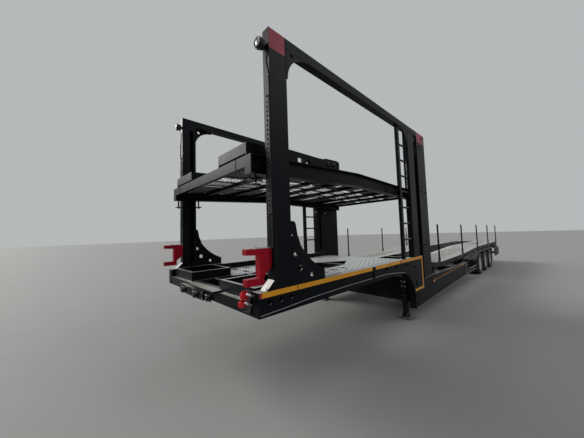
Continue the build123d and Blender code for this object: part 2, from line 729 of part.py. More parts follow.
def axle(station):
    """Axle beam, its spindles, spring packs and hangers."""
    beam_end = HUB_X - 296
    whole = block(-beam_end, beam_end, station - 60, station + 60, TYRE_R - 60, TYRE_R + 60)
    whole += cross_rod(-(HUB_X + 94), HUB_X + 94, station, TYRE_R, SPINDLE_R)
    for side in (-1, 1):
        x = side * BEAM_X
        whole += cross_rod(side * (HUB_X - 286), side * (HUB_X - 251), station, TYRE_R, 140)
        s0, s1 = station - 480, station + 480
        eye, middle = (TYRE_R + 165, TYRE_R + 185), (TYRE_R + 75, TYRE_R + 135)
        low = ThreePointArc(at(0, s0, eye[0]), at(0, station, middle[0]), at(0, s1, eye[0]))
        high = ThreePointArc(at(0, s0, eye[1]), at(0, station, middle[1]), at(0, s1, eye[1]))
        ends = [Line(at(0, s, eye[0]), at(0, s, eye[1])) for s in (s0, s1)]
        pack = make_face([*low.edges(), *high.edges(), *ends[0].edges(), *ends[1].edges()])
        whole += side_plate(pack, x - 38, x + 38)
        whole += block(x - 50, x + 50, station - 70, station + 70, TYRE_R + 55, TYRE_R + 95)
        for end in (-480, 480):
            s0, s1 = sorted((station + end * 0.93, station + end * 1.1))
            whole += block(x - 50, x + 50, s0, s1, TYRE_R + 160, CHASSIS_HIGH[0])
    return whole


# Upper deck
def locking_foot(station):
    """Rod with a foot plate, hanging under an upper side beam."""
    x = UPPER_BEAM_X[1] - 22
    z = height_on(UPPER_LINE, station) - UPPER_BEAM_H
    rod = Pos(x, FRONT_Y + station, z - 52) * Cylinder(12, 108)
    return rod + block(x - 24, x + 24, station - 45, station + 45, z - 112, z - 100)


def upper_side_beams():
    """Side beams with the sliding shoes inside the posts and the feet that hang beside them."""
    x0, x1 = UPPER_BEAM_X
    beam = i_beam(band_outline(UPPER_LINE, UPPER_BEAM_H), x0, x1, BEAM_WEB, UPPER_FLANGE_T)
    inner = HALF - POST_W + POST_WALL
    outer = HALF - POST_WALL
    for s0, s1 in (FRONT_POST, GUIDE_POST):
        middle = s0 + SLOT_INSET + SLOT_W / 2
        top = height_on(UPPER_LINE, middle)
        beam += block((x0 + x1) / 2, inner + 10, middle - 20, middle + 20, top - 175, top - 25)
        gap = POST_WALL + SHOE_GAP
        beam += block(inner + 5, outer - 5, s0 + gap, s1 - gap, top - 220, top + 20)
        beam += locking_foot(s0 - 83) + locking_foot(s1 + 20)
    return pair(beam)


def upper_cross_members():
    """Front bar flush with the ends of the side beams, and the members under the upper tracks."""
    x0, x1 = UPPER_BEAM_X
    z = UPPER_LINE[0][1]
    members = [block(-x0, x0, *UPPER_BAR, z - 112, z)]
    web = (x0 + x1 - BEAM_WEB) / 2
    for s in [500 + 480 * n for n in range(9)]:
        z = lowest(UPPER_LINE, s, 50) - UPPER_TRACK_DROP - TRACK_T
        members.append(block(-web, web, s - 25, s + 25, z - 50, z))
    return members


def upper_line():
    """The upper deck's line between the front bar and the rear end plates."""
    start, end = UPPER_BAR[1] + 10, UPPER_LINE[-1][0] - UPPER_FLANGE_T - 8
    return [(start, height_on(UPPER_LINE, start)), UPPER_LINE[1], (end, height_on(UPPER_LINE, end))]


def row_of_slots(plate, x0, x1, opening, pitch):
    """An upper deck plate with crosswise openings at an even pitch along its whole length."""
    line = upper_line()
    start, end = line[0][0] + 60, line[-1][0] - 60
    count = int((end - start - opening) // pitch) + 1
    first = (start + end - (count - 1) * pitch - opening) / 2
    cutters = []
    for n in range(count):
        s = first + n * pitch
        z = height_on(line, s) - UPPER_TRACK_DROP
        cutters.append(block(x0, x1, s, s + opening, z - 40, z + 30))
    return plate - cutters


def upper_deck_tracks():
    plate = side_plate(band(upper_line(), UPPER_TRACK_DROP, TRACK_T), *UPPER_TRACK)
    return pair(row_of_slots(plate, *UPPER_SLOT_X, *UPPER_SLOT))


def upper_walkway():
    """Plate between the upper tracks, with a strip of crosswise bars down each side."""
    plate = side_plate(band(upper_line(), UPPER_TRACK_DROP, TRACK_T), -WALKWAY_X, WALKWAY_X)
    bar, pitch = WALKWAY_BAR
    x0, x1 = WALKWAY_BARS_X
    for side in (-1, 1):
        plate = row_of_slots(plate, side * x0, side * x1, pitch - bar, pitch)
    return plate


def upper_wheel_boxes():
    """Raised box at the front of each upper track: windowed side plates, a top, a front and a winch housing."""
    def rise(station, height):
        return (station, height_on(UPPER_LINE, station) + height)
    s0, s1 = UPPER_BAR[0] + 20, UPPER_BAR[1] + 20
    back, window0, window1, corner0, corner1, corner2, plate_end, end = WHEEL_BOX_STATIONS
    top, floor = WHEEL_BOX_RISE, -UPPER_TRACK_DROP
    outline = side_face([
        rise(s0, 0), rise(s0, top), rise(plate_end, top), rise(plate_end, floor), rise(s1, floor), rise(s1, 0),
    ])
    low, high = 30, top - 43
    window = side_face([rise(window0, low), rise(window0, high), rise(window1, high), rise(window1, low)])
    corner = side_face([rise(corner0, low), rise(corner0, high), rise(corner1, high), rise(corner2, low)])
    cover = side_face([rise(s0, top - 8), rise(s0, top), rise(back, top), rise(back, top - 8)])
    x0, x1 = WHEEL_BOX_X
    box = side_plate(cover, x0, x1)
    for x in (x0, x1 - 10):
        box += side_plate(outline, x, x + 10)
        box -= side_plate(window, x - 1, x + 11)
        box -= side_plate(corner, x - 1, x + 11)
    z = UPPER_LINE[0][1]
    box += block(x0, x1, s0, s0 + 8, z + 35, z + top)
    housing = side_face([
        rise(plate_end, floor), rise(plate_end, top + 15), rise(end, top + 15), rise(end, floor),
    ])
    return pair(box + side_plate(housing, x1 - 240, x1))


def parts():
    """Every node's name and the solids in it."""
    made = {
        "gooseneck_sides": gooseneck_sides(),
        "gooseneck_frame": [gooseneck_frame()],
        "frame_cross_members": frame_cross_members(),
        "step_bulkhead": [step_bulkhead()],
        "kingpin": [kingpin()],
        "low_side_beams": low_side_beams(),
        "chassis_beams": chassis_beams(),
        "front_deck_tracks": [front_deck_tracks()],
        "rear_deck_tracks": rear_deck_tracks(),
        "rear_deck_rails": rear_deck_rails(),
        "rear_cross_members": rear_cross_members(),
        "stanchions": stanchions(),
        "front_posts": pair(front_post()),
        "lock_racks": pair(lock_rack()),
        "rear_posts": pair(rear_post()),
        "top_beams": pair(top_beam()),
        "ladders": pair(ladder()),
        "front_brackets": pair(front_bracket()),
        "wheel_troughs": pair(wheel_trough()),
        "connector_panel": [connector_panel()],
        "air_couplings": air_couplings(),
        "landing_gear": [landing_gear()],
        "work_lamps": work_lamps(),
        "fenders": fenders(),
        "side_guards": side_guards(),
        "mudflaps": mudflaps(),
        "rear_bumper": [rear_bumper()],
        "rear_lamps": rear_lamps(),
        "loading_ramps": loading_ramps(),
        "air_tanks": air_tanks(),
        "axles": [axle(station) for station in AXLE_STATIONS],
        "upper_side_beams": upper_side_beams(),
        "upper_cross_members": upper_cross_members(),
        "upper_deck_tracks": upper_deck_tracks(),
        "upper_walkway": [upper_walkway()],
        "upper_wheel_boxes": upper_wheel_boxes(),
    }
    for n, station in enumerate(AXLE_STATIONS, 1):
        for name, side in (("left", 1), ("right", -1)):
            made[f"rim_{n}_{name}"] = [rim(side, station)]
            made[f"tyres_{n}_{name}"] = [tyre(side, station, x) for x in TYRE_X]
    return made


def main():
    os.makedirs("parts", exist_ok=True)
    for name, solids in parts().items():
        shape = solids[0] if len(solids) == 1 else Compound(children=list(solids))
        export_step(shape, os.path.join("parts", name + ".step"))
        print(name, len(shape.solids()), "solids")


main()
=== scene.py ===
import json
import math

import bmesh
import bpy
import numpy as np
from mathutils import Matrix


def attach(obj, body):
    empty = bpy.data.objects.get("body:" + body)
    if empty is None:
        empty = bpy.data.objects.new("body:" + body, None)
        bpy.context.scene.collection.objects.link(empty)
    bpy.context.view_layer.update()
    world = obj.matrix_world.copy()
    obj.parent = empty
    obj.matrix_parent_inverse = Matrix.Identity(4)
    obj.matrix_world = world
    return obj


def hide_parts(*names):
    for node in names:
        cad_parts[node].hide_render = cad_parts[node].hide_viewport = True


# Car transporter semi-trailer in metres: X across with the trailer's own left at +X, Y from front
# to rear, Z up. A station is a distance behind the gooseneck's front face.
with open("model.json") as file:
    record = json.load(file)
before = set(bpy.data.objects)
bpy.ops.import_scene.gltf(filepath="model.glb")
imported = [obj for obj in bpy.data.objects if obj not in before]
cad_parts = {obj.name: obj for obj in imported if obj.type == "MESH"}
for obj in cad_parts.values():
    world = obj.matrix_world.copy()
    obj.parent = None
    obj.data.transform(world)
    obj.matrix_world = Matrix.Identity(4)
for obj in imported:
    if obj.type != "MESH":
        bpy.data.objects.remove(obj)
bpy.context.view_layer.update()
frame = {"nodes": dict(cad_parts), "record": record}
nodes = frame["nodes"]

# Outline: the front face's Y, half the width, top of the posts and station of the tail
FRONT_Y = -7.335
HALF = 1.275
POST_TOP = 3.8
TAIL = 14.8

# Tops of the upper deck and the rear deck's edge rail, as (station, height) points
UPPER_LINE = ((0.0, 2.512), (1.95, 2.605), (4.45, 2.552))
REAR_DECK = ((4.03, 1.1), (4.56, 1.01), (5.16, 0.95), (7.4, 0.97), (9.6, 1.06), (14.3, 1.06))

# Front frame: middle of the reflective tape, slots in the side face, ladder rungs and rope sheaves
TAPE_Z = 1.174
SIDE_SLOTS = ((2.41, 1.114), (2.78, 1.114), (3.18, 1.096), (3.57, 1.012))
LADDER_X = HALF - 0.045
RUNGS_Z = [1.55 + 0.3 * n for n in range(7)]
SHEAVE_X = 1.215
SHEAVES_Z = (3.27, 1.33)

# Rods along the rear deck's edges
STANCHION_X = HALF - 0.02
STANCHION_TOP = 1.84
STANCHIONS = [5.17 + 2.27 * n for n in range(5)]

# Wheels: stations of the axles, middle of the twin tyres, their offset from it, and radii
AXLES = (10.12, 11.24, 12.36)
HUB_X = 0.986
TWIN_OFFSET = 0.14
TYRE_R = 0.395
TYRE_HALF_W = 0.124
BEAD_R = 0.2283
STUD_CIRCLE = 0.1125

# Parts beside the axles: middle of the spring packs and brake chambers, and height of the air tanks
SPRING_X = 0.45
CHAMBER_X, CHAMBER_Z = 0.6, 0.43
TANK_Z = 0.44

# Directions
LEFT, RIGHT = (1, 0, 0), (-1, 0, 0)
REAR, FRONT = (0, 1, 0), (0, -1, 0)
UP, DOWN = (0, 0, 1), (0, 0, -1)

# Camera: where the photograph was taken from, found from its vanishing points; angles in radians
EYE = (3.0524, FRONT_Y - 1.2739, 1.7182)
YAW, PITCH, ROLL = 0.8163, 0.0621, -0.0306
FOCAL_PIXELS = 239.3057
PHOTO_PIXELS = 584
SENSOR_MM = 36


def aimed(name, data, right, up, back, place):
    """A camera or lamp at a place, with its own X, Y and Z along right, up and back."""
    made = bpy.data.objects.new(name, data)
    turn = np.eye(4)
    turn[:3] = np.stack((right, up, back, place), 1)
    made.matrix_world = Matrix(turn.tolist())
    bpy.context.scene.collection.objects.link(made)
    return made


def camera():
    """A wide lens close to the corner, turned by YAW about Z, then tilted by PITCH and ROLL."""
    ahead = np.array((-math.sin(YAW) * math.cos(PITCH), math.cos(YAW) * math.cos(PITCH), math.sin(PITCH)))
    level = np.array((math.cos(YAW), math.sin(YAW), 0.0))
    over = np.cross(level, ahead)
    right = level * math.cos(ROLL) + over * math.sin(ROLL)
    up = over * math.cos(ROLL) - level * math.sin(ROLL)
    data = bpy.data.cameras.new("camera")
    data.sensor_width = SENSOR_MM
    data.lens = FOCAL_PIXELS * SENSOR_MM / PHOTO_PIXELS
    data.clip_end = 500
    bpy.context.scene.camera = aimed("camera", data, right, up, -ahead, EYE)


camera()


# Shader maths
class Value:
    """A number that changes over a surface. Sums and products of it add Math nodes."""

    def __init__(self, tree, socket):
        self.tree, self.socket = tree, socket

    def math(self, operation, first, second=0.0):
        return self.tree.node("ShaderNodeMath", {"operation": operation}, {0: first, 1: second})

    def __add__(self, other):
        return self.math("ADD", self, other)

    def __sub__(self, other):
        return self.math("SUBTRACT", self, other)

    def __rsub__(self, other):
        return self.math("SUBTRACT", other, self)

    def __mul__(self, other):
        return self.math("MULTIPLY", self, other)

    def __truediv__(self, other):
        return self.math("DIVIDE", self, other)

    def __pow__(self, other):
        return self.math("POWER", self, other)

    def __gt__(self, other):
        return self.math("GREATER_THAN", self, other)

    def floor(self):
        return self.math("FLOOR", self)

    __radd__ = __add__
    __rmul__ = __mul__

    def rise(self, low, high):
        """0 below low, 1 above high, and a smooth step between."""
        ends = {0: self, 1: low, 2: high, 3: 0.0, 4: 1.0}
        return self.tree.node("ShaderNodeMapRange", {"interpolation_type": "SMOOTHSTEP"}, ends)

    def wrapped(self, pitch):
        """Signed distance to the middle of the nearest cell of a row with this pitch."""
        ends = {0: self, 1: pitch / 2, 2: -pitch / 2}
        return self.tree.node("ShaderNodeMath", {"operation": "WRAP"}, ends)


class Tree:
    """The node tree of a material or of the world, emptied first."""

    def __init__(self, owner):
        owner.use_nodes = True
        self.nodes, self.links = owner.node_tree.nodes, owner.node_tree.links
        self.nodes.clear()

    def node(self, kind, settings=None, inputs=None, output=0):
        """Adds a node: its settings first, then a value or a link for each socket named."""
        made = self.nodes.new(kind)
        for key, setting in (settings or {}).items():
            setattr(made, key, setting)
        for key, given in (inputs or {}).items():
            socket = made.inputs[key]
            if isinstance(given, Value):
                self.links.new(given.socket, socket)
            elif socket.type == "RGBA":
                socket.default_value = (*given[:3], 1.0)
            else:
                socket.default_value = given
        return Value(self, made.outputs[output])

    def end(self, kind, surface):
        self.links.new(surface.socket, self.nodes.new(kind).inputs["Surface"])


class Finish(Tree):
    """A material in the making, with the position on the object as x, y, z and its normal's height."""

    def __init__(self, name):
        self.material = bpy.data.materials.new(name)
        super().__init__(self.material)
        self.place = self.node("ShaderNodeTexCoord", output="Object")
        self.x, self.y, self.z = self.split(self.place)
        self.upward = self.split(self.node("ShaderNodeNewGeometry", output="Normal"))[2]

    def split(self, vector):
        return [self.node("ShaderNodeSeparateXYZ", None, {0: vector}, n) for n in range(3)]

    def noise(self, scale, detail=3.0, roughness=0.55, stretch=(1.0, 1.0, 1.0)):
        """Cloudy noise near 0 to 1, with features of about 1/scale metres, drawn out by stretch."""
        place = self.node("ShaderNodeMapping", None, {"Vector": self.place, "Scale": stretch})
        given = {"Vector": place, "Scale": scale, "Detail": detail, "Roughness": roughness}
        return self.node("ShaderNodeTexNoise", {"noise_dimensions": "3D"}, given)

    def cells(self, scale, feature="F1", output="Distance"):
        """Cells of about 1/scale metres: their colours, or the distance to a middle or an edge."""
        given = {"Vector": self.place, "Scale": scale}
        return self.node("ShaderNodeTexVoronoi", {"feature": feature}, given, output)

    def mix(self, factor, first, second):
        given = {0: factor, 6: first, 7: second}
        return self.node("ShaderNodeMix", {"data_type": "RGBA"}, given, 2)

    def bump(self, height, distance, strength=1.0, under=None):
        given = {"Height": height, "Distance": distance, "Strength": strength}
        if under:
            given["Normal"] = under
        return self.node("ShaderNodeBump", None, given)

    def done(self, **sockets):
        """Ends the material in one Principled surface whose sockets are given by name."""
        given = {key.replace("_", " ").title(): value for key, value in sockets.items()}
        given = {"Specular IOR Level" if key == "Specular" else key: value for key, value in given.items()}
        self.end("ShaderNodeOutputMaterial", self.node("ShaderNodeBsdfPrincipled", None, given))
        return self.material


# Finishes
def black_paint(name="black_paint", tint=(0.0042, 0.0054, 0.0076), dust_and_sheen_until=None):
    """Satin black: orange peel, faint rain streaks, level faces paled by settled dust and a painted sheen,
    and road film low down. Behind the station dust_and_sheen_until most of the dust and painted sheen is
    gone."""
    f = Finish(name)
    patches = f.noise(1.3, 5.0)
    streaks = f.noise(9.0, 3.0, stretch=(1.0, 1.0, 0.12))
    # Painted sheen: level faces are paled towards a dust colour, partly settled dust and partly the light
    # they catch from above
    level = f.upward.rise(0.2, 0.75)
    dust = level * (0.55 + 0.35 * f.noise(4.0, 6.0, 0.65).rise(0.35, 0.7))
    if dust_and_sheen_until is not None:
        dust = dust * (1 - 0.8 * (f.y - FRONT_Y).rise(dust_and_sheen_until, dust_and_sheen_until + 0.03))
    film = (0.9 - f.z).rise(0.0, 0.75) * f.noise(2.2, 6.0, 0.6).rise(0.4, 0.75) * 0.3
    worn = f.mix(streaks.rise(0.5, 0.8) * 0.3, tint, (0.014, 0.0145, 0.015))
    dirty = f.mix(film, worn, (0.085, 0.078, 0.068))
    color = f.mix(dust, dirty, (0.5, 0.485, 0.44))
    rough = 0.3 + 0.12 * patches + 0.2 * dust + 0.4 * film + 0.06 * streaks
    peel = f.bump(f.noise(260.0, 2.0), 0.0006, 0.35)
    normal = f.bump(f.noise(7.0, 2.0), 0.004, 0.25, peel)
    return f.done(base_color=color, roughness=rough, normal=normal, specular=0.07,
                  coat_weight=level * 0.75, coat_roughness=0.22)


def dimples(f, pitch=0.09, outer=0.034, hole=0.019):
    """Masks of a pressed plate with staggered rows: 1 on the raised ring round each hole, and 1 inside it."""
    row = (f.y / pitch + 0.5).floor()
    dx, dy = (f.x + row.math("PINGPONG", row, 1.0) * (pitch / 2)).wrapped(pitch), f.y.wrapped(pitch)
    away = (dx * dx + dy * dy) ** 0.5
    return 1 - away.rise(hole, outer), 1 - away.rise(hole * 0.75, hole)


def deck_plate(name, dust, shine, pale, highlight_edge, dirt):
    """Galvanised pressed plate: crystal spangle, raised holes in staggered rows, dust and wheel marks, with
    its inner edge, closer to the middle than highlight_edge, left clean and pale as a painted highlight."""
    f = Finish(name)
    spangle = f.cells(55.0, output="Color")
    grains = f.split(spangle)[0]
    ring, hole = dimples(f)
    top = f.upward.rise(0.5, 0.9)
    wander = f.noise(0.9, 4.0, 0.6, (1.0, 0.3, 1.0))
    # Painted highlight: a wandering pale strip along the plate's inner edge, where the dirt marks are left
    # off
    painted_highlight = ((f.x * f.x) ** 0.5 + 0.5 * wander).rise(highlight_edge + 0.27, highlight_edge + 0.2)
    marks = (0.55 + 0.45 * f.noise(1.1, 5.0, 0.6, (1.0, 0.25, 1.0)).rise(0.36, 0.62)) * (1 - painted_highlight)
    zinc = f.mix(grains * 0.6, pale, (0.8, 0.81, 0.8))
    dirty = f.mix(top * marks * dust, zinc, dirt)
    # Painted shade: faces turned downwards are darkened almost to black
    shade = f.mix(f.upward.rise(-0.4, -0.8) * 0.93, dirty, (0.02, 0.02, 0.021))
    # Painted shade: each hole is a near-black disc on the solid plate, in place of the dark opening seen
    # through it
    color = f.mix(hole * 0.92, shade, (0.012, 0.012, 0.012))
    worn = f.mix(ring * (1 - hole) * 0.5 * top, color, (0.75, 0.76, 0.76))
    rough = 0.34 + 0.16 * grains + 0.35 * marks * dust + 0.2 * f.upward.rise(-0.4, -0.8)
    normal = f.bump(ring * (1 - hole), 0.006, 0.9)
    return f.done(base_color=worn, roughness=rough, metallic=shine * (1 - hole), normal=normal)


def gloss_paint(name, tint, deep):
    """Thick coloured paint: a slow change of shade, fine dust on level faces and a little orange peel."""
    f = Finish(name)
    dust = f.upward.rise(0.6, 0.95) * f.noise(11.0, 5.0).rise(0.35, 0.75) * 0.4
    shade = f.mix(f.noise(6.0, 4.0).rise(0.3, 0.7), tint, deep)
    color = f.mix(dust, shade, (0.4, 0.3, 0.27))
    normal = f.bump(f.noise(300.0, 2.0), 0.0005, 0.3)
    rough = 0.27 + 0.1 * f.noise(14.0, 4.0) + 0.3 * dust
    return f.done(base_color=color, roughness=rough, normal=normal, specular=0.12)


def coupling_paint():
    """Red enamel on the two coupling heads, dull steel on the pipe ends at their left, which lie beyond a
    slanting line, and the black paint of the plate behind them."""
    f = Finish("coupling_red")
    shade = f.mix(f.noise(22.0, 4.0).rise(0.35, 0.7), (0.66, 0.012, 0.02), (0.44, 0.006, 0.014))
    plate = (f.y > FRONT_Y - 0.0425)
    color = f.mix(plate, shade, (0.008, 0.009, 0.011))
    stub = (f.x - f.z * 0.366 > 0.7536) * (1 - plate)
    metal = f.mix(f.noise(90.0, 4.0).rise(0.35, 0.7), (0.17, 0.17, 0.165), (0.1, 0.098, 0.095))
    color = f.mix(stub, color, metal)
    chips = f.noise(120.0, 5.0, 0.7).rise(0.66, 0.7) * 0.6
    normal = f.bump(f.noise(300.0, 2.0), 0.0005, 0.3)
    return f.done(base_color=f.mix(chips, color, (0.2, 0.17, 0.16)), normal=normal,
                  roughness=0.28 + 0.2 * chips + 0.25 * stub, metallic=stub * 0.6, specular=0.25)


def tape(name, tint, light):
    """Reflective tape: small six-sided cells sealed between paler lines, and a gloss film."""
    f = Finish(name)
    edge = f.cells(260.0, "DISTANCE_TO_EDGE")
    lines = 1 - edge.rise(0.02, 0.09)
    faded = f.noise(5.0, 4.0).rise(0.35, 0.7) * 0.35
    color = f.mix(faded, f.mix(lines * 0.55, tint, light), light)
    normal = f.bump(lines, 0.0004, 0.5)
    return f.done(base_color=color, roughness=0.3 + 0.12 * lines, normal=normal, specular=0.15)


def bright_steel(name, tint=(0.55, 0.56, 0.57), rust=0.0):
    """Plated or machined steel with fine turning marks, tarnish and, where asked, a little rust."""
    f = Finish(name)
    tarnish = f.noise(30.0, 5.0).rise(0.3, 0.75)
    base = f.mix(tarnish * 0.5, tint, (0.27, 0.265, 0.26))
    spots = f.noise(70.0, 6.0, 0.7).rise(0.6, 0.72) * rust
    color = f.mix(spots, base, (0.16, 0.062, 0.024))
    rough = 0.26 + 0.2 * tarnish + 0.3 * spots
    normal = f.bump(f.noise(500.0, 2.0, stretch=(0.2, 1.0, 1.0)), 0.0002, 0.3)
    return f.done(base_color=color, roughness=rough, metallic=1 - spots, normal=normal)


def wheel_paint():
    """Silver paint on steel discs, with metal flake and brake dust."""
    f = Finish("wheel_silver")
    flake = f.split(f.cells(900.0, output="Color"))[0]
    dust = f.noise(24.0, 6.0, 0.65).rise(0.45, 0.8) * 0.35
    silver = f.mix(flake * 0.3, (0.8, 0.81, 0.83), (0.93, 0.93, 0.94))
    color = f.mix(dust, silver, (0.3, 0.27, 0.24))
    return f.done(base_color=color, roughness=0.3 + 0.35 * dust, metallic=0.25,
                  coat_weight=0.3, coat_roughness=0.15)


def rubber(name, tint, dusty, grain=240.0):
    """Matt rubber: fine mould grain and grey bloom in patches."""
    f = Finish(name)
    bloom = f.noise(9.0, 6.0, 0.65).rise(0.35, 0.75) * dusty
    color = f.mix(bloom, tint, (0.1, 0.095, 0.088))
    normal = f.bump(f.noise(grain, 3.0), 0.0007, 0.4)
    return f.done(base_color=color, roughness=0.62 + 0.3 * bloom, normal=normal)


def moulded_plastic(name, tint):
    """Moulded black plastic: leather grain, scuffs and level faces paled by a film of dust and a painted
    sheen.
    """
    f = Finish(name)
    grain = f.cells(420.0)
    # Painted sheen: level faces are paled towards a dust colour, partly real dust and partly the light they
    # catch
    dust = f.upward.rise(0.5, 0.95) * f.noise(6.0, 5.0).rise(0.3, 0.7) * 0.6
    scuff = f.noise(35.0, 5.0, 0.7, (0.15, 1.0, 1.0)).rise(0.62, 0.75) * 0.3
    color = f.mix(dust, f.mix(scuff, tint, (0.09, 0.09, 0.09)), (0.46, 0.44, 0.39))
    normal = f.bump(grain, 0.0005, 0.35)
    return f.done(base_color=color, roughness=0.46 + 0.2 * dust, normal=normal, specular=0.3)


def lens(name, tint, clear, pitch=0.008):
    """Lamp lens: coloured plastic with moulded prism ribs under a clear gloss."""
    f = Finish(name)
    cells = (f.x.wrapped(pitch), f.z.wrapped(pitch))
    ribs, rungs = (cell.math("ABSOLUTE", cell) / (pitch / 2) for cell in cells)
    color = f.mix(ribs * rungs * 0.6, tint, clear)
    normal = f.bump(ribs + rungs, 0.001, 0.4)
    return f.done(base_color=color, roughness=0.12 + 0.1 * rungs, normal=normal,
                  coat_weight=0.6, coat_roughness=0.04)


paint = black_paint()
# The gooseneck frame keeps its pale dust and painted sheen only on its front 45 mm
frame_paint = black_paint("frame_paint", dust_and_sheen_until=0.045)
rack_paint = black_paint("rack_paint", (0.035, 0.036, 0.039))
# Painted light: the front plate is a paler, less dusty copy of the rear plate, lightened to make up for shade
# from the posts
front_plate = deck_plate("deck_plate_painted_lit", 0.45, 0.3, (0.72, 0.73, 0.73), 0.9, (0.36, 0.345, 0.31))
rear_plate = deck_plate("deck_plate_dusty", 0.94, 0.35, (0.6, 0.61, 0.61), 0.56, (0.26, 0.243, 0.2))
red = gloss_paint("bracket_red", (0.34, 0.003, 0.014), (0.24, 0.002, 0.01))
coupling_red = coupling_paint()
zinc = bright_steel("bright_fittings")
dark_steel = bright_steel("oiled_steel", (0.2, 0.2, 0.2), 0.6)
silver = wheel_paint()
tyre_rubber = rubber("tyre_rubber", (0.012, 0.012, 0.0125), 0.55)
flap_rubber = rubber("flap_rubber", (0.016, 0.016, 0.016), 0.6, 90.0)
hose_rubber = rubber("hose_rubber", (0.013, 0.013, 0.014), 0.25)
plastic = moulded_plastic("black_plastic", (0.017, 0.018, 0.019))
amber_tape = tape("amber_tape", (0.66, 0.25, 0.006), (0.82, 0.42, 0.05))
red_tape = tape("red_tape", (0.23, 0.014, 0.034), (0.4, 0.05, 0.075))
red_lens = lens("red_lens", (0.42, 0.006, 0.008), (0.75, 0.08, 0.07))
amber_lens = lens("amber_lens", (0.72, 0.22, 0.006), (0.95, 0.5, 0.12))
lamp_glass = lens("lamp_glass", (0.17, 0.175, 0.18), (0.36, 0.37, 0.37))
clear_lens = lens("clear_lens", (0.62, 0.63, 0.63), (0.95, 0.95, 0.94))

# Which finish each of the record's slots gets on the solids, apart from a few nodes with their own
slot_finishes = {
    "deck_plate": rear_plate, "red_paint": red, "bare_steel": dark_steel, "wheel_silver": silver,
    "tyre_rubber": tyre_rubber, "black_plastic": plastic, "rubber_flap": flap_rubber, "lamp_red": red_lens,
    "black_paint": paint,
}
node_finishes = {
    "front_deck_tracks": front_plate, "upper_deck_tracks": front_plate, "upper_walkway": front_plate,
    "air_couplings": coupling_red, "loading_ramps": zinc, "gooseneck_frame": frame_paint,
    "lock_racks": rack_paint,
}
for row in frame["record"]["subparts"]:
    for held in nodes[row["node"]].material_slots:
        held.material = node_finishes.get(row["node"], slot_finishes[row["material_slot"]])

# The record's slot for a new piece with a finish, where it has one
piece_slots = {
    paint: "black_paint", red: "red_paint", coupling_red: "red_paint", plastic: "black_plastic",
    hose_rubber: "black_plastic", tyre_rubber: "tyre_rubber", flap_rubber: "rubber_flap",
    amber_tape: "reflector_amber", amber_lens: "reflector_amber", red_tape: "lamp_red", red_lens: "lamp_red",
    lamp_glass: "lamp_clear", clear_lens: "lamp_clear",
}


# Shapes
def spot(x, station, z):
    return np.array((x, FRONT_Y + station, z))


def spots(places):
    return [spot(*place) for place in places]


def height_on(line, station):
    """Height at a station of a line that is straight between its (station, height) points."""
    return float(np.interp(station, *zip(*line)))


def circle(x, station, z, radius, count, phase=0.0):
    """Places evenly round a circle that faces across the trailer."""
    turns = [2 * math.pi * (k + phase) / count for k in range(count)]
    return [(x, station + radius * math.cos(t), z + radius * math.sin(t)) for t in turns]


def lathe(profile, steps):
    """A profile of (radius, height) points turned about Z: x = r cos a, y = r sin a, z = h."""
    r, h = np.array(profile, float).T
    a = np.linspace(0.0, 2 * math.pi, steps + 1)
    return np.stack((np.outer(r, np.cos(a)), np.outer(r, np.sin(a)), np.outer(h, np.ones_like(a))), -1)


def both_ways(half):
    """A profile whose lower half mirrors the upper: each point above height 0 comes back below it."""
    return [*half, *[(r, -h) for r, h in reversed(half) if h > 0]]


def toward(axis):
    """A turn that takes Z to the axis: its rows are where X, Y and Z go."""
    w = np.array(axis, float) / np.linalg.norm(axis)
    u = np.cross((0.0, 0.0, 1.0) if abs(w[2]) < 0.9 else (1.0, 0.0, 0.0), w)
    u /= np.linalg.norm(u)
    return np.stack((u, np.cross(w, u), w))


def placed(shape, axis, places):
    """Copies of one shape turned so that its Z lies along the axis: p = place + shape @ turn. Each place is
    an (x, station, height)."""
    return (shape @ toward(axis))[None] + np.array(spots(places)).reshape(-1, 1, 1, 3)


def turned(profile, steps, axis, *places):
    """A profile of (radius, height) points turned about the axis at each place."""
    return placed(lathe(profile, steps), axis, places)


def prism(outline, x0, x1, chamfer=0.002):
    """An outline of (station, height) corners carried across from x0 to x1 and closed. Its rows are the
    middle, the outline drawn in by the chamfer, the full outline twice, the drawn-in one and the middle."""
    ring = np.array([spot(0, *corner) for corner in outline])
    ring = np.vstack((ring, ring[:1]))
    middle = ring[:-1].mean(0) * np.ones_like(ring)
    span = np.linalg.norm(ring - middle, axis=1, keepdims=True)
    small = middle + (ring - middle) * np.maximum(1 - chamfer / span, 0.2)
    rows = ((middle, x0), (small, x0), (ring, x0 + chamfer), (ring, x1 - chamfer), (small, x1), (middle, x1))
    return np.stack([row + (x, 0, 0) for row, x in rows])


def slab(x0, x1, s0, s1, z0, z1, chamfer=0.002):
    """A plate between two corners with chamfered edges."""
    return prism([(s0, z0), (s1, z0), (s1, z1), (s0, z1)], x0, x1, chamfer)


def flat_profile(x0, y0, x1, y1):
    """The section of a flat bar between two corners."""
    return [(x0, y0), (x1, y0), (x1, y1), (x0, y1), (x0, y0)]


def swept(path, profile, across=UP, closed_ends=True):
    """A flat profile of (side, up) points carried along a path: p = path + side * n + up * b, with n and b
    square to the path's own direction. Closed ends shrink to a point; a ring is left open."""
    path, profile = np.array(path, float), np.array(profile, float)
    t = np.gradient(path, axis=0)
    t /= np.linalg.norm(t, axis=1, keepdims=True)
    n = np.cross(np.array(across, float), t)
    n /= np.linalg.norm(n, axis=1, keepdims=True)
    b = np.cross(t, n)
    rows = path[:, None] + profile[None, :, :1] * n[:, None] + profile[None, :, 1:] * b[:, None]
    if closed_ends:
        rows = np.concatenate((path[:1, None] + 0 * rows[:1], rows, path[-1:, None] + 0 * rows[-1:]))
    return rows


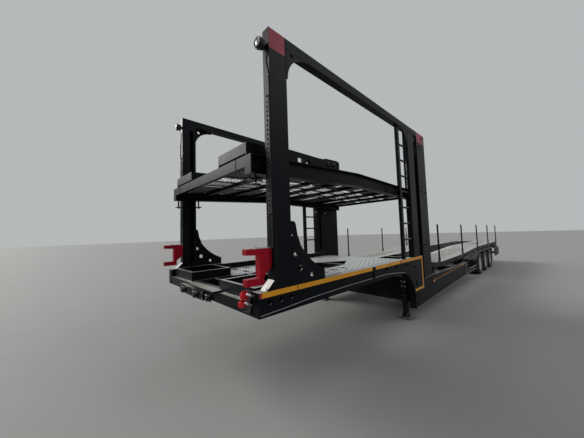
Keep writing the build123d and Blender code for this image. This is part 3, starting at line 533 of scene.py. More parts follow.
def round_profile(radius, steps=10):
    """The section of a wire or pipe: side = r cos a, up = r sin a."""
    a = np.linspace(0, 2 * math.pi, steps + 1)
    return np.stack((radius * np.cos(a), radius * np.sin(a)), -1)


def along(places, spacing):
    """Even points on straight runs between places."""
    points = np.array(spots(places))
    runs = np.linalg.norm(np.diff(points, axis=0), axis=1)
    at = np.concatenate(((0.0,), np.cumsum(runs)))
    wanted = np.linspace(0, at[-1], max(int(at[-1] / spacing), 2) + 1)
    return np.stack([np.interp(wanted, at, points[:, k]) for k in range(3)], -1)


def smooth_path(places, count):
    """A smooth curve through places: each span is a cubic whose slopes are half the step across its ends."""
    q = np.array(spots(places))
    ends = np.vstack((2 * q[0] - q[1], q, 2 * q[-1] - q[-2]))
    span = np.linspace(0, len(q) - 1.000001, count)
    k = span.astype(int)
    t = (span - k)[:, None]
    a, b, c, d = (ends[k + n] for n in range(4))
    square, cube = 2 * a - 5 * b + 4 * c - d, 3 * b - a - 3 * c + d
    return 0.5 * (2 * b + (c - a) * t + square * t ** 2 + cube * t ** 3)


def tube(places, radius, count, steps=10):
    """A round pipe along the smooth path through places. Its section is squared to Z, or to Y where the
    path is steep."""
    path = smooth_path(places, count)
    run = path[-1] - path[0]
    steep = abs(run[2]) >= np.linalg.norm(run) * 0.7
    return swept(path, round_profile(radius, steps), REAR if steep else UP)


def bead(places, size, facing=UP):
    """A weld: a low hump carried along a seam. At its step number n it has the size times
    1 + 0.16 cos 2.1 n + 0.05 cos 0.37 n, which makes the ripples."""
    path = along(places, size * 0.8)
    rows = swept(path, round_profile(size, 6), facing)
    n = np.arange(len(path))
    swell = 1 + 0.16 * np.cos(n * 2.1) + 0.05 * np.cos(n * 0.37)
    rows[1:-1] = path[:, None] + (rows[1:-1] - path[:, None]) * swell[:, None, None]
    return rows


def mirrored(shapes):
    """The shapes and their copies on the trailer's right."""
    return [*shapes, *[np.array(shape) * (-1.0, 1.0, 1.0) for shape in shapes]]


def piece(name, body, finish, shapes, slot=None, smooth=35):
    """One mesh from many grids of points. Each grid of m by n points gives (m-1)(n-1) faces; points that
    coincide at seams and poles are merged, and the faces are turned outwards. It rides the body; its slot,
    the finish's own where none is given, is worked out but not used."""
    points, quads, count = [], [], 0
    for shape in shapes:
        shape = np.asarray(shape, float)
        grid = shape.reshape((-1, *shape.shape[-3:]))
        k, m, n = grid.shape[:3]
        index = np.arange(k * m * n).reshape(k, m, n) + count
        corners = (index[:, :-1, :-1], index[:, 1:, :-1], index[:, 1:, 1:], index[:, :-1, 1:])
        quads.append(np.stack(corners, -1).reshape(-1, 4))
        points.append(grid.reshape(-1, 3))
        count += k * m * n
    points, quads = np.concatenate(points), np.concatenate(quads)
    data = bpy.data.meshes.new(name)
    data.vertices.add(len(points))
    data.vertices.foreach_set("co", points.astype(np.float32).ravel())
    data.loops.add(quads.size)
    data.loops.foreach_set("vertex_index", quads.ravel().astype(np.int32))
    data.polygons.add(len(quads))
    data.polygons.foreach_set("loop_start", np.arange(0, quads.size, 4, dtype=np.int32))
    data.update(calc_edges=True)
    work = bmesh.new()
    work.from_mesh(data)
    bmesh.ops.remove_doubles(work, verts=work.verts, dist=1e-6)
    bmesh.ops.dissolve_degenerate(work, edges=work.edges, dist=1e-7)
    bmesh.ops.recalc_face_normals(work, faces=work.faces)
    work.to_mesh(data)
    work.free()
    data.shade_smooth()
    data.set_sharp_from_angle(angle=math.radians(smooth))
    data.materials.append(finish)
    made = bpy.data.objects.new(name, data)
    bpy.context.scene.collection.objects.link(made)
    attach(made, body)
    slot = piece_slots.get(finish) if slot is None else slot
    return made


def pair(name, finish, shapes, slot=None, smooth=35, body="trailer"):
    """One piece with the shapes and their mirror images on the right."""
    return piece(name, body, finish, mirrored(shapes), slot, smooth)


# Fasteners
def bolts(size, axis, *places):
    """Six-sided heads on round washers that stand on each place; size is the thread's diameter."""
    r, h = size * 0.95, size * 0.65
    head = [(0, h), (r * 0.8, h), (r, h * 0.85), (r, 0.0)]
    washer = [(r * 0.5, size * 0.16), (r * 1.22, size * 0.16), (r * 1.28, 0.0)]
    return [turned(head, 6, axis, *places), turned(washer, 12, axis, *places)]


def nut(size):
    """A six-sided nut, open in the middle."""
    r = size * 0.85
    return lathe([(r * 0.5, size * 0.85), (r * 0.85, size * 0.85), (r, size * 0.75), (r, 0.0)], 6)


def stud(size, length):
    """The rounded end of a stud."""
    return lathe([(0, length), (size * 0.35, length), (size * 0.45, length * 0.93), (size * 0.45, 0.0)], 10)


def side_welds(*rows):
    """Beads that face outwards, from rows of x, size and the station and height of both ends."""
    return [bead([(x, s0, z0), (x, s1, z1)], size, LEFT) for x, size, s0, z0, s1, z1 in rows]


# Reflective tape and patches, on the outer faces of both sides
def tape_strip(s0, z0, s1, z1, width):
    """A thin strip on the side's outer face between two points, square to their line."""
    run = math.hypot(s1 - s0, z1 - z0)
    ds, dz = (z0 - z1) / run * width / 2, (s1 - s0) / run * width / 2
    outline = [(s0 - ds, z0 - dz), (s1 - ds, z1 - dz), (s1 + ds, z1 + dz), (s0 + ds, z0 + dz)]
    return prism(outline, HALF - 0.0005, HALF + 0.0012, 0.0004)


def tapes():
    level = ((0.0, 0.445), (0.455, 1.975), (2.075, 2.925), (2.975, 3.985))
    ambers = [(s0, TAPE_Z, s1, TAPE_Z, 0.05) for s0, s1 in level]
    ambers += [(3.962, 1.149, 3.962, 0.606, 0.046), (3.545, 0.583, 3.985, 0.583, 0.046),
               (4.62, 0.612, 5.84, 0.633, 0.009), (5.96, 0.635, 7.31, 0.658, 0.009)]
    reds = [(-0.028, TAPE_Z, 0.0, TAPE_Z, 0.05), (2.925, TAPE_Z, 2.975, TAPE_Z, 0.05),
            (0.152, 3.692, 0.362, 3.692, 0.212), (4.075, 3.692, 4.46, 3.692, 0.205),
            (5.85, 0.648, 5.95, 0.65, 0.07)]
    pair("amber_tape_strips", amber_tape, [tape_strip(*row) for row in ambers])
    pair("red_tape_patches", red_tape, [tape_strip(*row) for row in reds])


# Tyres and wheels
def tyre(side, station, middle, around=288):
    """A ring whose section runs from bead to bead: y = R cos a and z = R sin a about the hub, where R falls
    by the tread's depth in four winding grooves, in cuts across the shoulders and in fine slanting sipes.
    The walls carry raised rings and a row of lugs."""
    wall = TYRE_R - BEAD_R
    half = [(0.0862, 0.0), (0.0868, 0.016), (0.1, 0.03), (0.112, 0.045), (0.1215, 0.07), (0.1238, 0.085),
            (0.1226, 0.1), (0.1232, 0.104), (0.1222, 0.118), (0.1195, 0.135), (0.1185, 0.139), (0.113, 0.15),
            (0.107, wall - 0.009), (0.0995, wall - 0.003), (0.09, wall)]
    half += [(x, wall) for x in (0.084, 0.0765, 0.07, 0.062, 0.05, 0.042, 0.034, 0.0265, 0.018, 0.009, 0.0)]
    section = half + [(-x, r) for x, r in reversed(half[:-1])]
    x, r = np.array(section).T[..., None]
    a = np.linspace(0, 2 * math.pi, around + 1)[None]
    x = x + 0 * a
    blocks = a * 48
    groove = np.any([abs(x - at) < 0.0085 for at in (-0.066, -0.022, 0.022, 0.066)], axis=0)
    cut = (np.sin(blocks) > 0.72) & (abs(x) > 0.086) & (r > 0.145)
    sipe = (np.cos(blocks + x * 160) > 0.86) & (abs(x) < 0.084)
    tread = (r > wall - 0.0095) & (abs(x) < TYRE_HALF_W)
    depth = np.maximum.reduce((groove * 0.012, cut * 0.009, sipe * 0.004)) * tread
    depth = np.maximum(depth, cut * 0.006)
    lugs = 0.0014 * (np.sin(a * 96) > 0) * ((r > 0.119) & (r < 0.137))
    across = x + np.sign(x) * lugs + 0.0035 * np.sin(blocks) * groove
    radius = BEAD_R + r - depth
    y, z = FRONT_Y + station + radius * np.cos(a), TYRE_R + radius * np.sin(a)
    rows = np.stack((side * (middle + across), y, z), -1)
    return np.concatenate((rows, rows[:1]))


def wheel(number, station, side, name):
    body, out = f"wheel_{number}_{name}", (side, 0, 0)
    walls = [tyre(side, station, HUB_X + offset) for offset in (TWIN_OFFSET, -TWIN_OFFSET)]
    ring = piece(f"tread_tyres_{number}_{name}", body, tyre_rubber, walls, smooth=28)
    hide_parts(f"tyres_{number}_{name}")
    studs = circle(side * (HUB_X + 0.013), station, TYRE_R, STUD_CIRCLE, 10, 0.5)
    collar = lathe([(0.017, 0.004), (0.021, 0.004), (0.023, 0.0)], 12)
    nuts = [placed(shape, out, studs) for shape in (nut(0.024), stud(0.024, 0.034), collar)]
    piece(f"wheel_nuts_{number}_{name}", body, zinc, nuts, "wheel_silver")
    cap = [(0.0, 0.062), (0.03, 0.0605), (0.05, 0.054), (0.055, 0.046), (0.057, 0.012), (0.066, 0.01),
           (0.067, 0.0), (0.06, -0.004)]
    hub = [turned(cap, 40, out, (side * (HUB_X + 0.1445), station, TYRE_R))]
    hub += bolts(0.008, out, *circle(side * (HUB_X + 0.1545), station, TYRE_R, 0.0615, 6))
    piece(f"hub_cap_{number}_{name}", body, plastic, hub)
    stem = [(0.0, 0.05), (0.0038, 0.05), (0.0042, 0.038), (0.003, 0.036), (0.003, 0.012), (0.007, 0.008),
            (0.007, 0.0)]
    valve = turned(stem, 10, out, (side * (HUB_X + 0.078), station + 0.19, TYRE_R))
    piece(f"valve_{number}_{name}", body, zinc, [valve])


# Work lamps at the tops of the front posts, with their leads
def work_lamps():
    x, s, z = HALF - 0.065, 0.055, POST_TOP - 0.175
    shell = [(0.0, 0.024), (0.03, 0.024), (0.046, 0.02), (0.05, 0.014), (0.0505, -0.004), (0.046, -0.008)]
    rim = [(0.031, -0.003), (0.034, 0.001), (0.044, 0.003), (0.05, 0.003), (0.0515, -0.002),
           (0.0515, -0.012), (0.031, -0.012)]
    glass = [(0.0, 0.0035), (0.012, 0.003), (0.022, 0.001), (0.031, -0.0025), (0.031, -0.008)]
    shells = [turned(rim, 40, FRONT, (x, s - 0.001, z)), turned(shell, 36, REAR, (x, s + 0.056, z))]
    for fin in range(5):
        at = s + 0.008 + 0.0105 * fin
        shells.append(slab(x - 0.0475, x + 0.0475, at, at + 0.0035, z - 0.036, z + 0.036, 0.001))
    ends = ((0.0465, 0), (0, 0.0465), (-0.0465, 0), (0, -0.0465))
    shells += bolts(0.004, FRONT, *[(x + dx, s - 0.004, z + dz) for dx, dz in ends])
    yoke = [spot(x + 0.058 * math.cos(t), s + 0.024, z - 0.058 * math.sin(t))
            for t in np.linspace(0, math.pi, 19)]
    shells.append(swept(yoke, flat_profile(-0.002, -0.011, 0.002, 0.011), REAR))
    shells += bolts(0.01, LEFT, (x + 0.06, s + 0.024, z)) + bolts(0.01, RIGHT, (x - 0.06, s + 0.024, z))
    pair("work_lamp_shells", plastic, shells)
    pair("work_lamp_glass", lamp_glass, [turned(glass, 40, FRONT, (x, s - 0.002, z))])
    lead = [(1.224, 0.1, 3.6), (1.236, 0.137, 3.545), (1.226, 0.1455, 3.49), (1.24, 0.1455, 3.4),
            (1.262, 0.1455, 3.3), (1.2665, 0.1455, 3.0), (1.2665, 0.1455, 2.2), (1.2665, 0.1455, 1.66),
            (1.262, 0.1455, 1.6)]
    pair("lamp_leads", hose_rubber, [tube(lead, 0.0042, 200, 8)])
    clips = [slab(1.257, 1.2735, 0.1375, 0.1502, z - 0.009, z + 0.009, 0.001) for z in (3.3, 2.85, 2.4, 1.95)]
    pair("lead_clips", plastic, clips)


# Front end: red brackets, air couplings and sockets
def brackets():
    plates = [slab(1.172, 1.238, -0.035, 0.148, 1.592, 1.599)]
    plates += bolts(0.012, UP, *[(1.205, s, 1.599) for s in (-0.01, 0.12)])
    pair("bracket_top_plates", zinc, plates)
    outer = ((0.125, 1.56), (0.125, 1.47), (0.045, 1.56), (0.045, 1.34), (0.045, 1.29))
    pair("bracket_bolts", red, bolts(0.016, LEFT, *[(HALF - 0.035, *at) for at in outer]))
    seams = side_welds((HALF - 0.036, 0.005, 0.148, 1.44, 0.148, 1.59),
                       (HALF - 0.104, 0.005, 0.148, 1.42, 0.148, 1.59))
    seams.append(bead([(HALF - 0.1, 0.148, 1.412), (HALF - 0.04, 0.148, 1.412)], 0.005))
    pair("bracket_welds", red, seams)


def air_couplings():
    """Rims, handles and pipe fittings of the two coupling heads, which are on the left only, and the wire
    hoop between them: x = 0.012 sin a, y = 0.036 sin a, z = 0.0365 cos a about its middle."""
    rims, steel = [], []
    cap = [(0.0, 0.012), (0.009, 0.0118), (0.02, 0.01), (0.028, 0.006), (0.0305, 0.001), (0.031, 0.0),
           (0.0335, 0.0), (0.0345, -0.002), (0.0345, -0.012), (0.0325, -0.014)]
    sleeve = [(0.0, 0.03), (0.0115, 0.03), (0.0115, -0.012), (0.0, -0.012)]
    for x, z in ((1.146, 1.176), (1.116, 1.094)):
        rims.append(turned(cap, 40, FRONT, (x, -0.125, z)))
        rims.append(slab(x - 0.004, x + 0.004, -0.141, -0.134, z - 0.019, z + 0.019, 0.0015))
        rims.append(slab(x - 0.007, x + 0.007, -0.124, -0.08, z + 0.03, z + 0.042))
        for at, r in ((0.047, 0.0155), (0.083, 0.0135)):
            collar = both_ways([(0.0, 0.011), (r * 0.8, 0.011), (r, 0.008)])
            steel.append(turned(collar, 6, LEFT, (x + at, -0.092, z + 0.014)))
        steel.append(turned(sleeve, 20, LEFT, (x + 0.063, -0.092, z + 0.014)))
        steel.append(tube([(x + 0.093, -0.092, z + 0.014), (x + 0.108, -0.09, z + 0.014),
                           (x + 0.112, -0.076, z + 0.012), (x + 0.1, -0.052, z + 0.004),
                           (x + 0.09, -0.034, z - 0.004)], 0.006, 30))
    piece("coupling_rims", "trailer", coupling_red, rims)
    a = np.linspace(0, 2 * math.pi, 41)
    hoop = np.stack((0.012 * np.sin(a), 0.036 * np.sin(a), 0.0365 * np.cos(a)), -1)
    steel.append(swept(spot(1.172, -0.096, 1.0745) + hoop, round_profile(0.0016, 8), LEFT, False))
    piece("coupling_fittings", "trailer", dark_steel, steel)


def sockets():
    """Caps, rings and screws of the three sockets on the panel under the front bar."""
    caps, rings, screws = [], [], []
    pin = both_ways([(0.0, 0.02), (0.003, 0.02), (0.0035, 0.018)])
    places = ((-0.437, 0.995, -0.11, 0.032), (-0.02, 0.995, -0.11, 0.032), (0.265, 0.99, -0.07, 0.03))
    for x, z, s, r in places:
        cap = [(0.0, 0.0125), (r * 0.5, 0.012), (r * 0.86, 0.0085), (r * 0.97, 0.003), (r, -0.002),
               (r, -0.007)]
        caps.append(turned(cap, 32, FRONT, (x, s, z)))
        caps.append(slab(x - 0.007, x + 0.007, s - 0.012, s - 0.001, z + r * 0.9, z + r + 0.02))
        ring = [(r + 0.0005, 0.0), (r + 0.004, 0.0), (r + 0.005, -0.004), (r + 0.005, -0.02),
                (r + 0.0005, -0.022)]
        rings.append(turned(ring, 32, FRONT, (x, s + 0.004, z)))
        back, reach = s + 0.03, r + 0.012
        rings.append(slab(x - reach, x + reach, back - 0.006, back, z - r - 0.006, z + reach))
        corners = [(x + a * (r + 0.003), back - 0.006, z + b * (r - 0.002) + 0.003)
                   for a in (-1, 1) for b in (-1, 1)]
        screws += bolts(0.007, FRONT, *corners)
        screws.append(turned(pin, 12, LEFT, (x, s - 0.0085, z + r + 0.014)))
    piece("socket_screws", "trailer", zinc, screws)
    piece("socket_caps", "trailer", plastic, caps)
    piece("socket_rings", "trailer", plastic, rings)
    edge = [(x, -0.08, z) for x in (-0.575, -0.33, -0.12, 0.155) for z in (0.968, 1.045)]
    piece("panel_bolts", "trailer", zinc, bolts(0.008, FRONT, *edge))


# Front frame and posts: welds, edges, bolts and the ladders' grips
def frame_welds():
    x = HALF - 0.001
    seams = side_welds(
        (x, 0.0045, 0.38, 1.215, 0.38, 1.84), (x, 0.0045, 0.38, 3.37, 0.38, 3.79),
        (x, 0.0045, 3.59, 3.37, 3.59, 3.69), (x, 0.0045, 0.38, 3.69, 0.7, 3.69),
        (x, 0.0045, 3.26, 3.69, 4.07, 3.69), (x, 0.006, 4.07, 0.741, 4.52, 0.741),
        (x, 0.005, 4.021, 0.75, 4.021, 1.19), (x, 0.005, 3.6, 0.569, 4.02, 0.569),
        (1.174, 0.005, 0.15, 1.201, 0.38, 1.201), (1.261, 0.0045, 0.39, 1.201, 0.885, 1.201),
        (1.174, 0.005, 3.59, 1.201, 3.87, 1.201), (1.27, 0.005, 3.59, 1.201, 3.87, 1.201),
    )
    seams.append(bead([(1.156, -0.031, 0.98), (1.156, -0.031, 1.088)], 0.005, REAR))
    seams.append(bead([(1.206, 3.158, 1.201), (1.254, 3.158, 1.201)], 0.004))
    trough = ((0.425, 0.02, 1.13, 0.02), (0.425, 0.63, 1.13, 0.63), (0.425, 0.02, 0.425, 0.63),
              (1.13, 0.02, 1.13, 0.63))
    seams += [bead([(x0, s0, 1.091), (x1, s1, 1.091)], 0.004) for x0, s0, x1, s1 in trough]
    pair("frame_welds", paint, seams, smooth=60)


def frame_edges():
    """The wide top corner of each foot gusset, and the ledge low on the gooseneck's outer face, in bright
    zinc as a painted highlight.
    """
    ear = [(0.409, 1.6), (0.511, 1.6), (0.497, 1.652), (0.471, 1.705), (0.462, 1.76), (0.449, 1.825),
           (0.437, 1.843), (0.42, 1.85), (0.392, 1.85), (0.392, 1.8), (0.409, 1.735)]
    pair("gusset_ears", paint, [prism(ear, HALF - 0.011, HALF - 0.001, 0.001)])
    ledge = [(-0.02, 1.0), (0.33, 1.014), (0.65, 1.031), (1.3, 1.043), (2.3, 1.041), (2.55, 1.03),
             (2.78, 1.009), (2.96, 0.99), (3.1, 0.966)]
    path = along([(HALF + 0.001, *at) for at in ledge], 0.1)
    # Painted highlight: the ledge is bright zinc to show the light caught along the black frame's lower edge
    pair("side_ledge_highlights", zinc, [swept(path, flat_profile(-0.004, -0.0035, 0.004, 0.0035))])


def frame_bolts():
    mast = [(4.13, 3.48), (4.28, 3.53), (4.27, 3.46), (4.23, 2.63), (4.13, 2.555), (4.22, 2.55),
            (4.41, 2.53), (4.18, 2.09), (4.13, 1.42), (4.45, 1.42)]
    heads = [(HALF + 0.0012, 4.36, 3.71), *[(HALF, *at) for at in mast]]
    pair("mast_bolts", paint, bolts(0.02, LEFT, *heads))
    pair("rack_bolts", paint, bolts(0.012, FRONT, *[(HALF - 0.039, 0.142, z) for z in (1.917, 3.09)]))
    strap = [(1.985, 1.199), (2.05, 1.199), (2.05, 1.135), (2.03, 1.105), (2.012, 1.02), (1.985, 1.03),
             (1.996, 1.105), (1.985, 1.13)]
    hooks = [prism(strap, HALF, HALF + 0.014, 0.003)]
    pair("rail_hooks", paint, hooks + bolts(0.012, LEFT, (HALF + 0.014, 2.017, 1.17)))
    corners = ((-1, -1), (1, -1), (1, 1), (-1, 1), (-1, -1))
    rims = [bead([(HALF, s + a * 0.0255, z + b * 0.036) for a, b in corners], 0.0032, LEFT)
            for s, z in SIDE_SLOTS]
    pair("slot_edges", paint, rims, smooth=60)


def ladder_trim():
    """Nuts at the rungs' ends, and ribbed grips whose radius steps by 5 % up and down round the rung."""
    pair("ladder_nuts", paint, bolts(0.018, FRONT, *[(LADDER_X, 3.157, z) for z in RUNGS_Z]))
    grip = lathe([(0.0, 0.0), (0.0165, 0.0), (0.0165, 0.315), (0.0, 0.315)], 20)
    grip[..., :2] *= 1 + 0.05 * np.sign(np.cos(np.linspace(0, 2 * math.pi, 21) * 10))[:, None]
    pair("rung_grips", paint, [placed(grip, REAR, [(LADDER_X, 3.25, z) for z in RUNGS_Z])])


# Rear deck: stanchion caps and collars, lashing rings, rail bolts
def stanchion_trim():
    dome = [(0.0, 0.0), (0.008, -0.001), (0.0155, -0.0055), (0.0195, -0.0125), (0.0195, -0.0325),
            (0.0185, -0.0345)]
    tops = [(STANCHION_X, s, STANCHION_TOP) for s in STANCHIONS]
    pair("stanchion_caps", plastic, [turned(dome, 20, UP, *tops)])
    band = lathe([(0.0185, 0.012), (0.029, 0.01), (0.0295, 0.0), (0.0295, -0.012), (0.0185, -0.014)], 20)
    band[..., 0] = np.minimum(band[..., 0], 0.0195)
    feet = [(s, height_on(REAR_DECK, s)) for s in STANCHIONS]
    pair("stanchion_collars", paint, [placed(band, UP, [(STANCHION_X, s, z + 0.1) for s, z in feet])])
    pair("stanchion_pins", zinc, bolts(0.01, FRONT, *[(STANCHION_X, s - 0.0275, z + 0.06) for s, z in feet]))


def lashing_ring(station):
    """A ring that hangs against the rail, y = 0.026 cos a and z = 0.026 (sin a - 1), with its plate."""
    x, z = HALF - 0.001, height_on(REAR_DECK, station) - 0.045
    a = np.linspace(0, 2 * math.pi, 25)
    path = spot(x + 0.006, station, z) + np.stack((0 * a, 0.026 * np.cos(a), 0.026 * np.sin(a) - 0.026), -1)
    ring = swept(path, round_profile(0.0045, 8), LEFT, False)
    return ring, slab(x, x + 0.0115, station - 0.018, station + 0.018, z - 0.009, z + 0.014)


def rail_trim():
    pair("lashing_rings", paint, [shape for n in range(9) for shape in lashing_ring(5.6 + n)])
    stations = [4.9 + 0.6 * n + step for n in range(16) for step in (0, 0.06)]
    heads = [(HALF, s, height_on(REAR_DECK, s) - 0.075) for s in stations]
    pair("rail_bolts", paint, bolts(0.012, LEFT, *heads))


# Side marker lamps, and the lamps and blank plate at the tail
def marker_lamps():
    frames, domes = [], []
    for s, z in ((4.585, 0.6), (7.6, 0.62), (9.0, 0.93), (11.8, 0.965), (14.0, 0.965)):
        frames.append(slab(HALF - 0.001, HALF + 0.006, s - 0.056, s + 0.056, z - 0.022, z + 0.022, 0.004))
        domes.append(slab(HALF + 0.004, HALF + 0.016, s - 0.048, s + 0.048, z - 0.016, z + 0.016, 0.007))
    pair("marker_frames", plastic, frames)
    pair("marker_lenses", amber_lens, domes)


def tail_lamps():
    back = TAIL - 0.035
    rims = []
    lenses = ((1.065, "red", red_lens), (0.96, "amber", amber_lens), (0.855, "clear", clear_lens))
    for x, color, finish in lenses:
        shape = slab(x - 0.046, x + 0.046, back, back + 0.012, 0.432, 0.508, 0.008)
        pair(f"tail_lens_{color}", finish, [shape])
        rims.append(slab(x - 0.0505, x + 0.0505, back - 0.001, back + 0.0045, 0.4275, 0.5125, 0.002))
    pair("tail_lamp_rims", plastic, rims)
    plate = [slab(-0.26, 0.26, 14.73, 14.738, 0.415, 0.525, 0.003)]
    plate += bolts(0.006, REAR, *[(x, 14.738, 0.47) for x in (-0.23, 0.23)])
    piece("blank_plate", "trailer", clear_lens, plate, "")


# Perforated lock rack on each rear guide post, in line with the ladder
def perforated(x0, station, z0, width, pitch, count, radius, thick):
    """A row of cells up the trailer's height with a round hole each. A cell's section goes round the plate:
    out from the hole's edge on one face, over the side, in along the other face and back through the hole."""
    a = np.linspace(0, 2 * math.pi, 33)
    out = np.maximum(abs(np.cos(a)) / (width / 2), abs(np.sin(a)) / (pitch / 2))
    hole = np.stack((radius * np.cos(a), radius * np.sin(a)), -1)
    edge = np.stack((np.cos(a) / out, np.sin(a) / out), -1)
    rows = [(hole, 0.0), (edge, 0.0), (edge, thick), (hole, thick), (hole, 0.0)]
    cell = np.stack([np.stack((ring[:, 0], 0 * ring[:, 0] + depth, ring[:, 1]), 1) for ring, depth in rows])
    middles = [spot(x0 + width / 2, station, z0 + pitch * (n + 0.5)) for n in range(count)]
    return cell[None] + np.stack(middles)[:, None, None]


def rear_racks():
    racks = [perforated(1.2, 3.572, 2.53, 0.046, 0.047, 12, 0.0135, 0.006)]
    racks += [slab(1.2, 1.246, 3.572, 3.59, z, z + 0.016) for z in (2.514, 3.094)]
    pair("rear_lock_racks", paint, racks)
    # Painted light: a bright zinc sheet behind the rack makes its holes show as pale dots, in place of light
    # seen through them
    pair("rear_rack_painted_light_backs", zinc, [slab(1.204, 1.242, 3.5805, 3.5895, 2.532, 3.092, 0.001)])


def lift_ropes():
    """Wire ropes of the lift with their top and bottom sheaves, beside each mast."""
    ropes = []
    for s in (3.914, 4.026):
        path = along([(SHEAVE_X, s, z) for z in reversed(SHEAVES_Z)], 0.3)
        ropes.append(swept(path, round_profile(0.0055, 8), LEFT))
    pair("lift_ropes", dark_steel, ropes)
    sheave = both_ways([(0.0, 0.014), (0.012, 0.014), (0.016, 0.009), (0.046, 0.009), (0.058, 0.012),
                        (0.062, 0.01), (0.055, 0.0)])
    shapes = []
    for z in SHEAVES_Z:
        shapes.append(turned(sheave, 36, LEFT, (SHEAVE_X, 3.97, z)))
        shapes += [slab(side, side + 0.006, 3.93, 4.01, z - 0.05, z + 0.09) for side in (1.195, 1.231)]
        shapes += bolts(0.018, LEFT, (1.237, 3.97, z))
    pair("lift_sheaves", paint, shapes)


# Low side beams: bottom lip in bright zinc as a painted highlight, locker doors with latches, and control
# valves
def low_side_trim():
    path = along([(HALF + 0.002, 3.56, 0.249), (HALF + 0.002, 5.5, 0.29), (HALF + 0.002, 7.84, 0.328)], 0.6)
    # Painted highlight: the lip is bright zinc to show the light caught along the side's lower edge
    pair("low_side_lip_highlights", zinc, [swept(path, flat_profile(-0.006, -0.005, 0.006, 0.007))])
    doors = [slab(HALF - 0.002, HALF + 0.006, 7.45, 7.735, 0.362, 0.598, 0.004),
             slab(HALF + 0.004, HALF + 0.009, 7.475, 7.71, 0.388, 0.572, 0.003)]
    doors += [slab(HALF + 0.004, HALF + 0.014, s, s + 0.03, 0.585, 0.612, 0.003) for s in (7.48, 7.67)]
    pair("locker_doors", plastic, doors)
    button = [(0, 0.006), (0.011, 0.006), (0.013, 0.004), (0.013, 0.0)]
    latches = [turned(button, 20, LEFT, (HALF + 0.009, 7.59, 0.4)),
               slab(HALF + 0.014, HALF + 0.018, 7.578, 7.602, 0.394, 0.404, 0.001)]
    pair("locker_latches", zinc, latches)


def control_valves():
    z = 0.715
    knob = [(0, 0.014), (0.006, 0.013), (0.01, 0.007), (0.01, -0.004), (0.006, -0.01), (0, -0.011)]
    port = [(0, 0.022), (0.007, 0.022), (0.008, 0.018), (0.008, 0.006), (0.011, 0.005), (0.011, 0)]
    stations = [4.83 + 0.05 * n for n in range(5)]
    valves = [slab(1.17, 1.25, 4.8, 5.06, z, z + 0.07, 0.004),
              slab(1.185, 1.235, 4.78, 5.08, z + 0.02, z + 0.05, 0.003),
              turned(port, 6, RIGHT, *[(1.17, s, z + 0.035) for s in stations])]
    valves += [tube([(1.21, s, z + 0.065), (1.214, s, z + 0.09), (1.232, s + 0.003, z + 0.135)], 0.004, 14, 8)
               for s in stations]
    pair("control_valves", dark_steel, valves)
    knobs = turned(knob, 16, (0.3, 0, 1), *[(1.234, s + 0.003, z + 0.142) for s in stations])
    pair("valve_knobs", plastic, [knobs])


def leg_trim():
    """Landing gear: mounting bolts, foot ribs, pivot pins and the stowed crank."""
    heads = bolts(0.016, FRONT, *[(x, 3.59, z) for x in (1.0, 1.06) for z in (0.62, 0.72, 0.82, 0.92)])
    heads += bolts(0.012, FRONT, *[(x, 3.6, z) for x in (0.915, 0.955) for z in (0.815, 0.935)])
    heads += bolts(0.02, LEFT, (1.077, 3.65, 0.075)) + bolts(0.02, RIGHT, (0.983, 3.65, 0.075))
    pair("leg_bolts", dark_steel, heads)
    rib = [(3.55, 0.02), (3.75, 0.02), (3.7, 0.1), (3.6, 0.1)]
    ribs = [prism(rib, x, x + 0.008) for x in (0.974, 1.078)]
    ribs += [slab(x, x + 0.027, 3.55, 3.75, 0.02, 0.028) for x in (0.945, 1.088)]
    ribs.append(bead([(0.984, 3.59, 0.431), (1.076, 3.59, 0.431)], 0.005, REAR))
    pair("foot_ribs", paint, ribs)
    crank = [(1.09, 3.65, 0.88), (1.12, 3.65, 0.88), (1.125, 3.64, 0.86), (1.125, 3.56, 0.74),
             (1.127, 3.54, 0.725), (1.132, 3.5, 0.725), (1.132, 3.4, 0.73)]
    grip = [(0.0, 0.0), (0.016, 0.0), (0.017, 0.01), (0.015, 0.06), (0.017, 0.115), (0.014, 0.125),
            (0.0, 0.125)]
    pair("leg_cranks", paint, [tube(crank, 0.0095, 60), turned(grip, 20, FRONT, (1.132, 3.41, 0.7295))])


# Axles: U-bolts, spring clips and leaves, brake chambers and slack adjusters
def spring_trim():
    leg = lathe([(0, 0.305), (0.009, 0.303), (0.01, 0.298), (0.01, 0.0), (0.0, 0.0)], 10)
    clamps, leaves = [], []
    for s in AXLES:
        legs = [(SPRING_X + dx, s + ds) for dx in (-0.05, 0.05) for ds in (-0.079, 0.079)]
        clamps += [leg + spot(*at, 0.308) for at in legs]
        clamps.append(placed(nut(0.018), DOWN, [(*at, 0.318) for at in legs]))
        x0, x1 = SPRING_X - 0.065, SPRING_X + 0.065
        leaves += [slab(x0, x1, s - 0.1, s + 0.1, 0.582, 0.598, 0.004),
                   slab(x0, x1, s - 0.1, s + 0.1, 0.319, 0.334, 0.004)]
        leaves += [slab(0.4055, 0.4945, at, at + 0.035, 0.475, 0.56, 0.004) for at in (s - 0.32, s + 0.285)]
        for n in range(5):
            z, reach = 0.488 + 0.017 * n, 0.2 + 0.06 * n
            leaves += [slab(x, x + 0.003, s - reach, s + reach, z, z + 0.0035, 0.001)
                       for x in (0.4105, 0.4865)]
    pair("spring_clamps", dark_steel, clamps)
    pair("spring_leaves", paint, leaves)


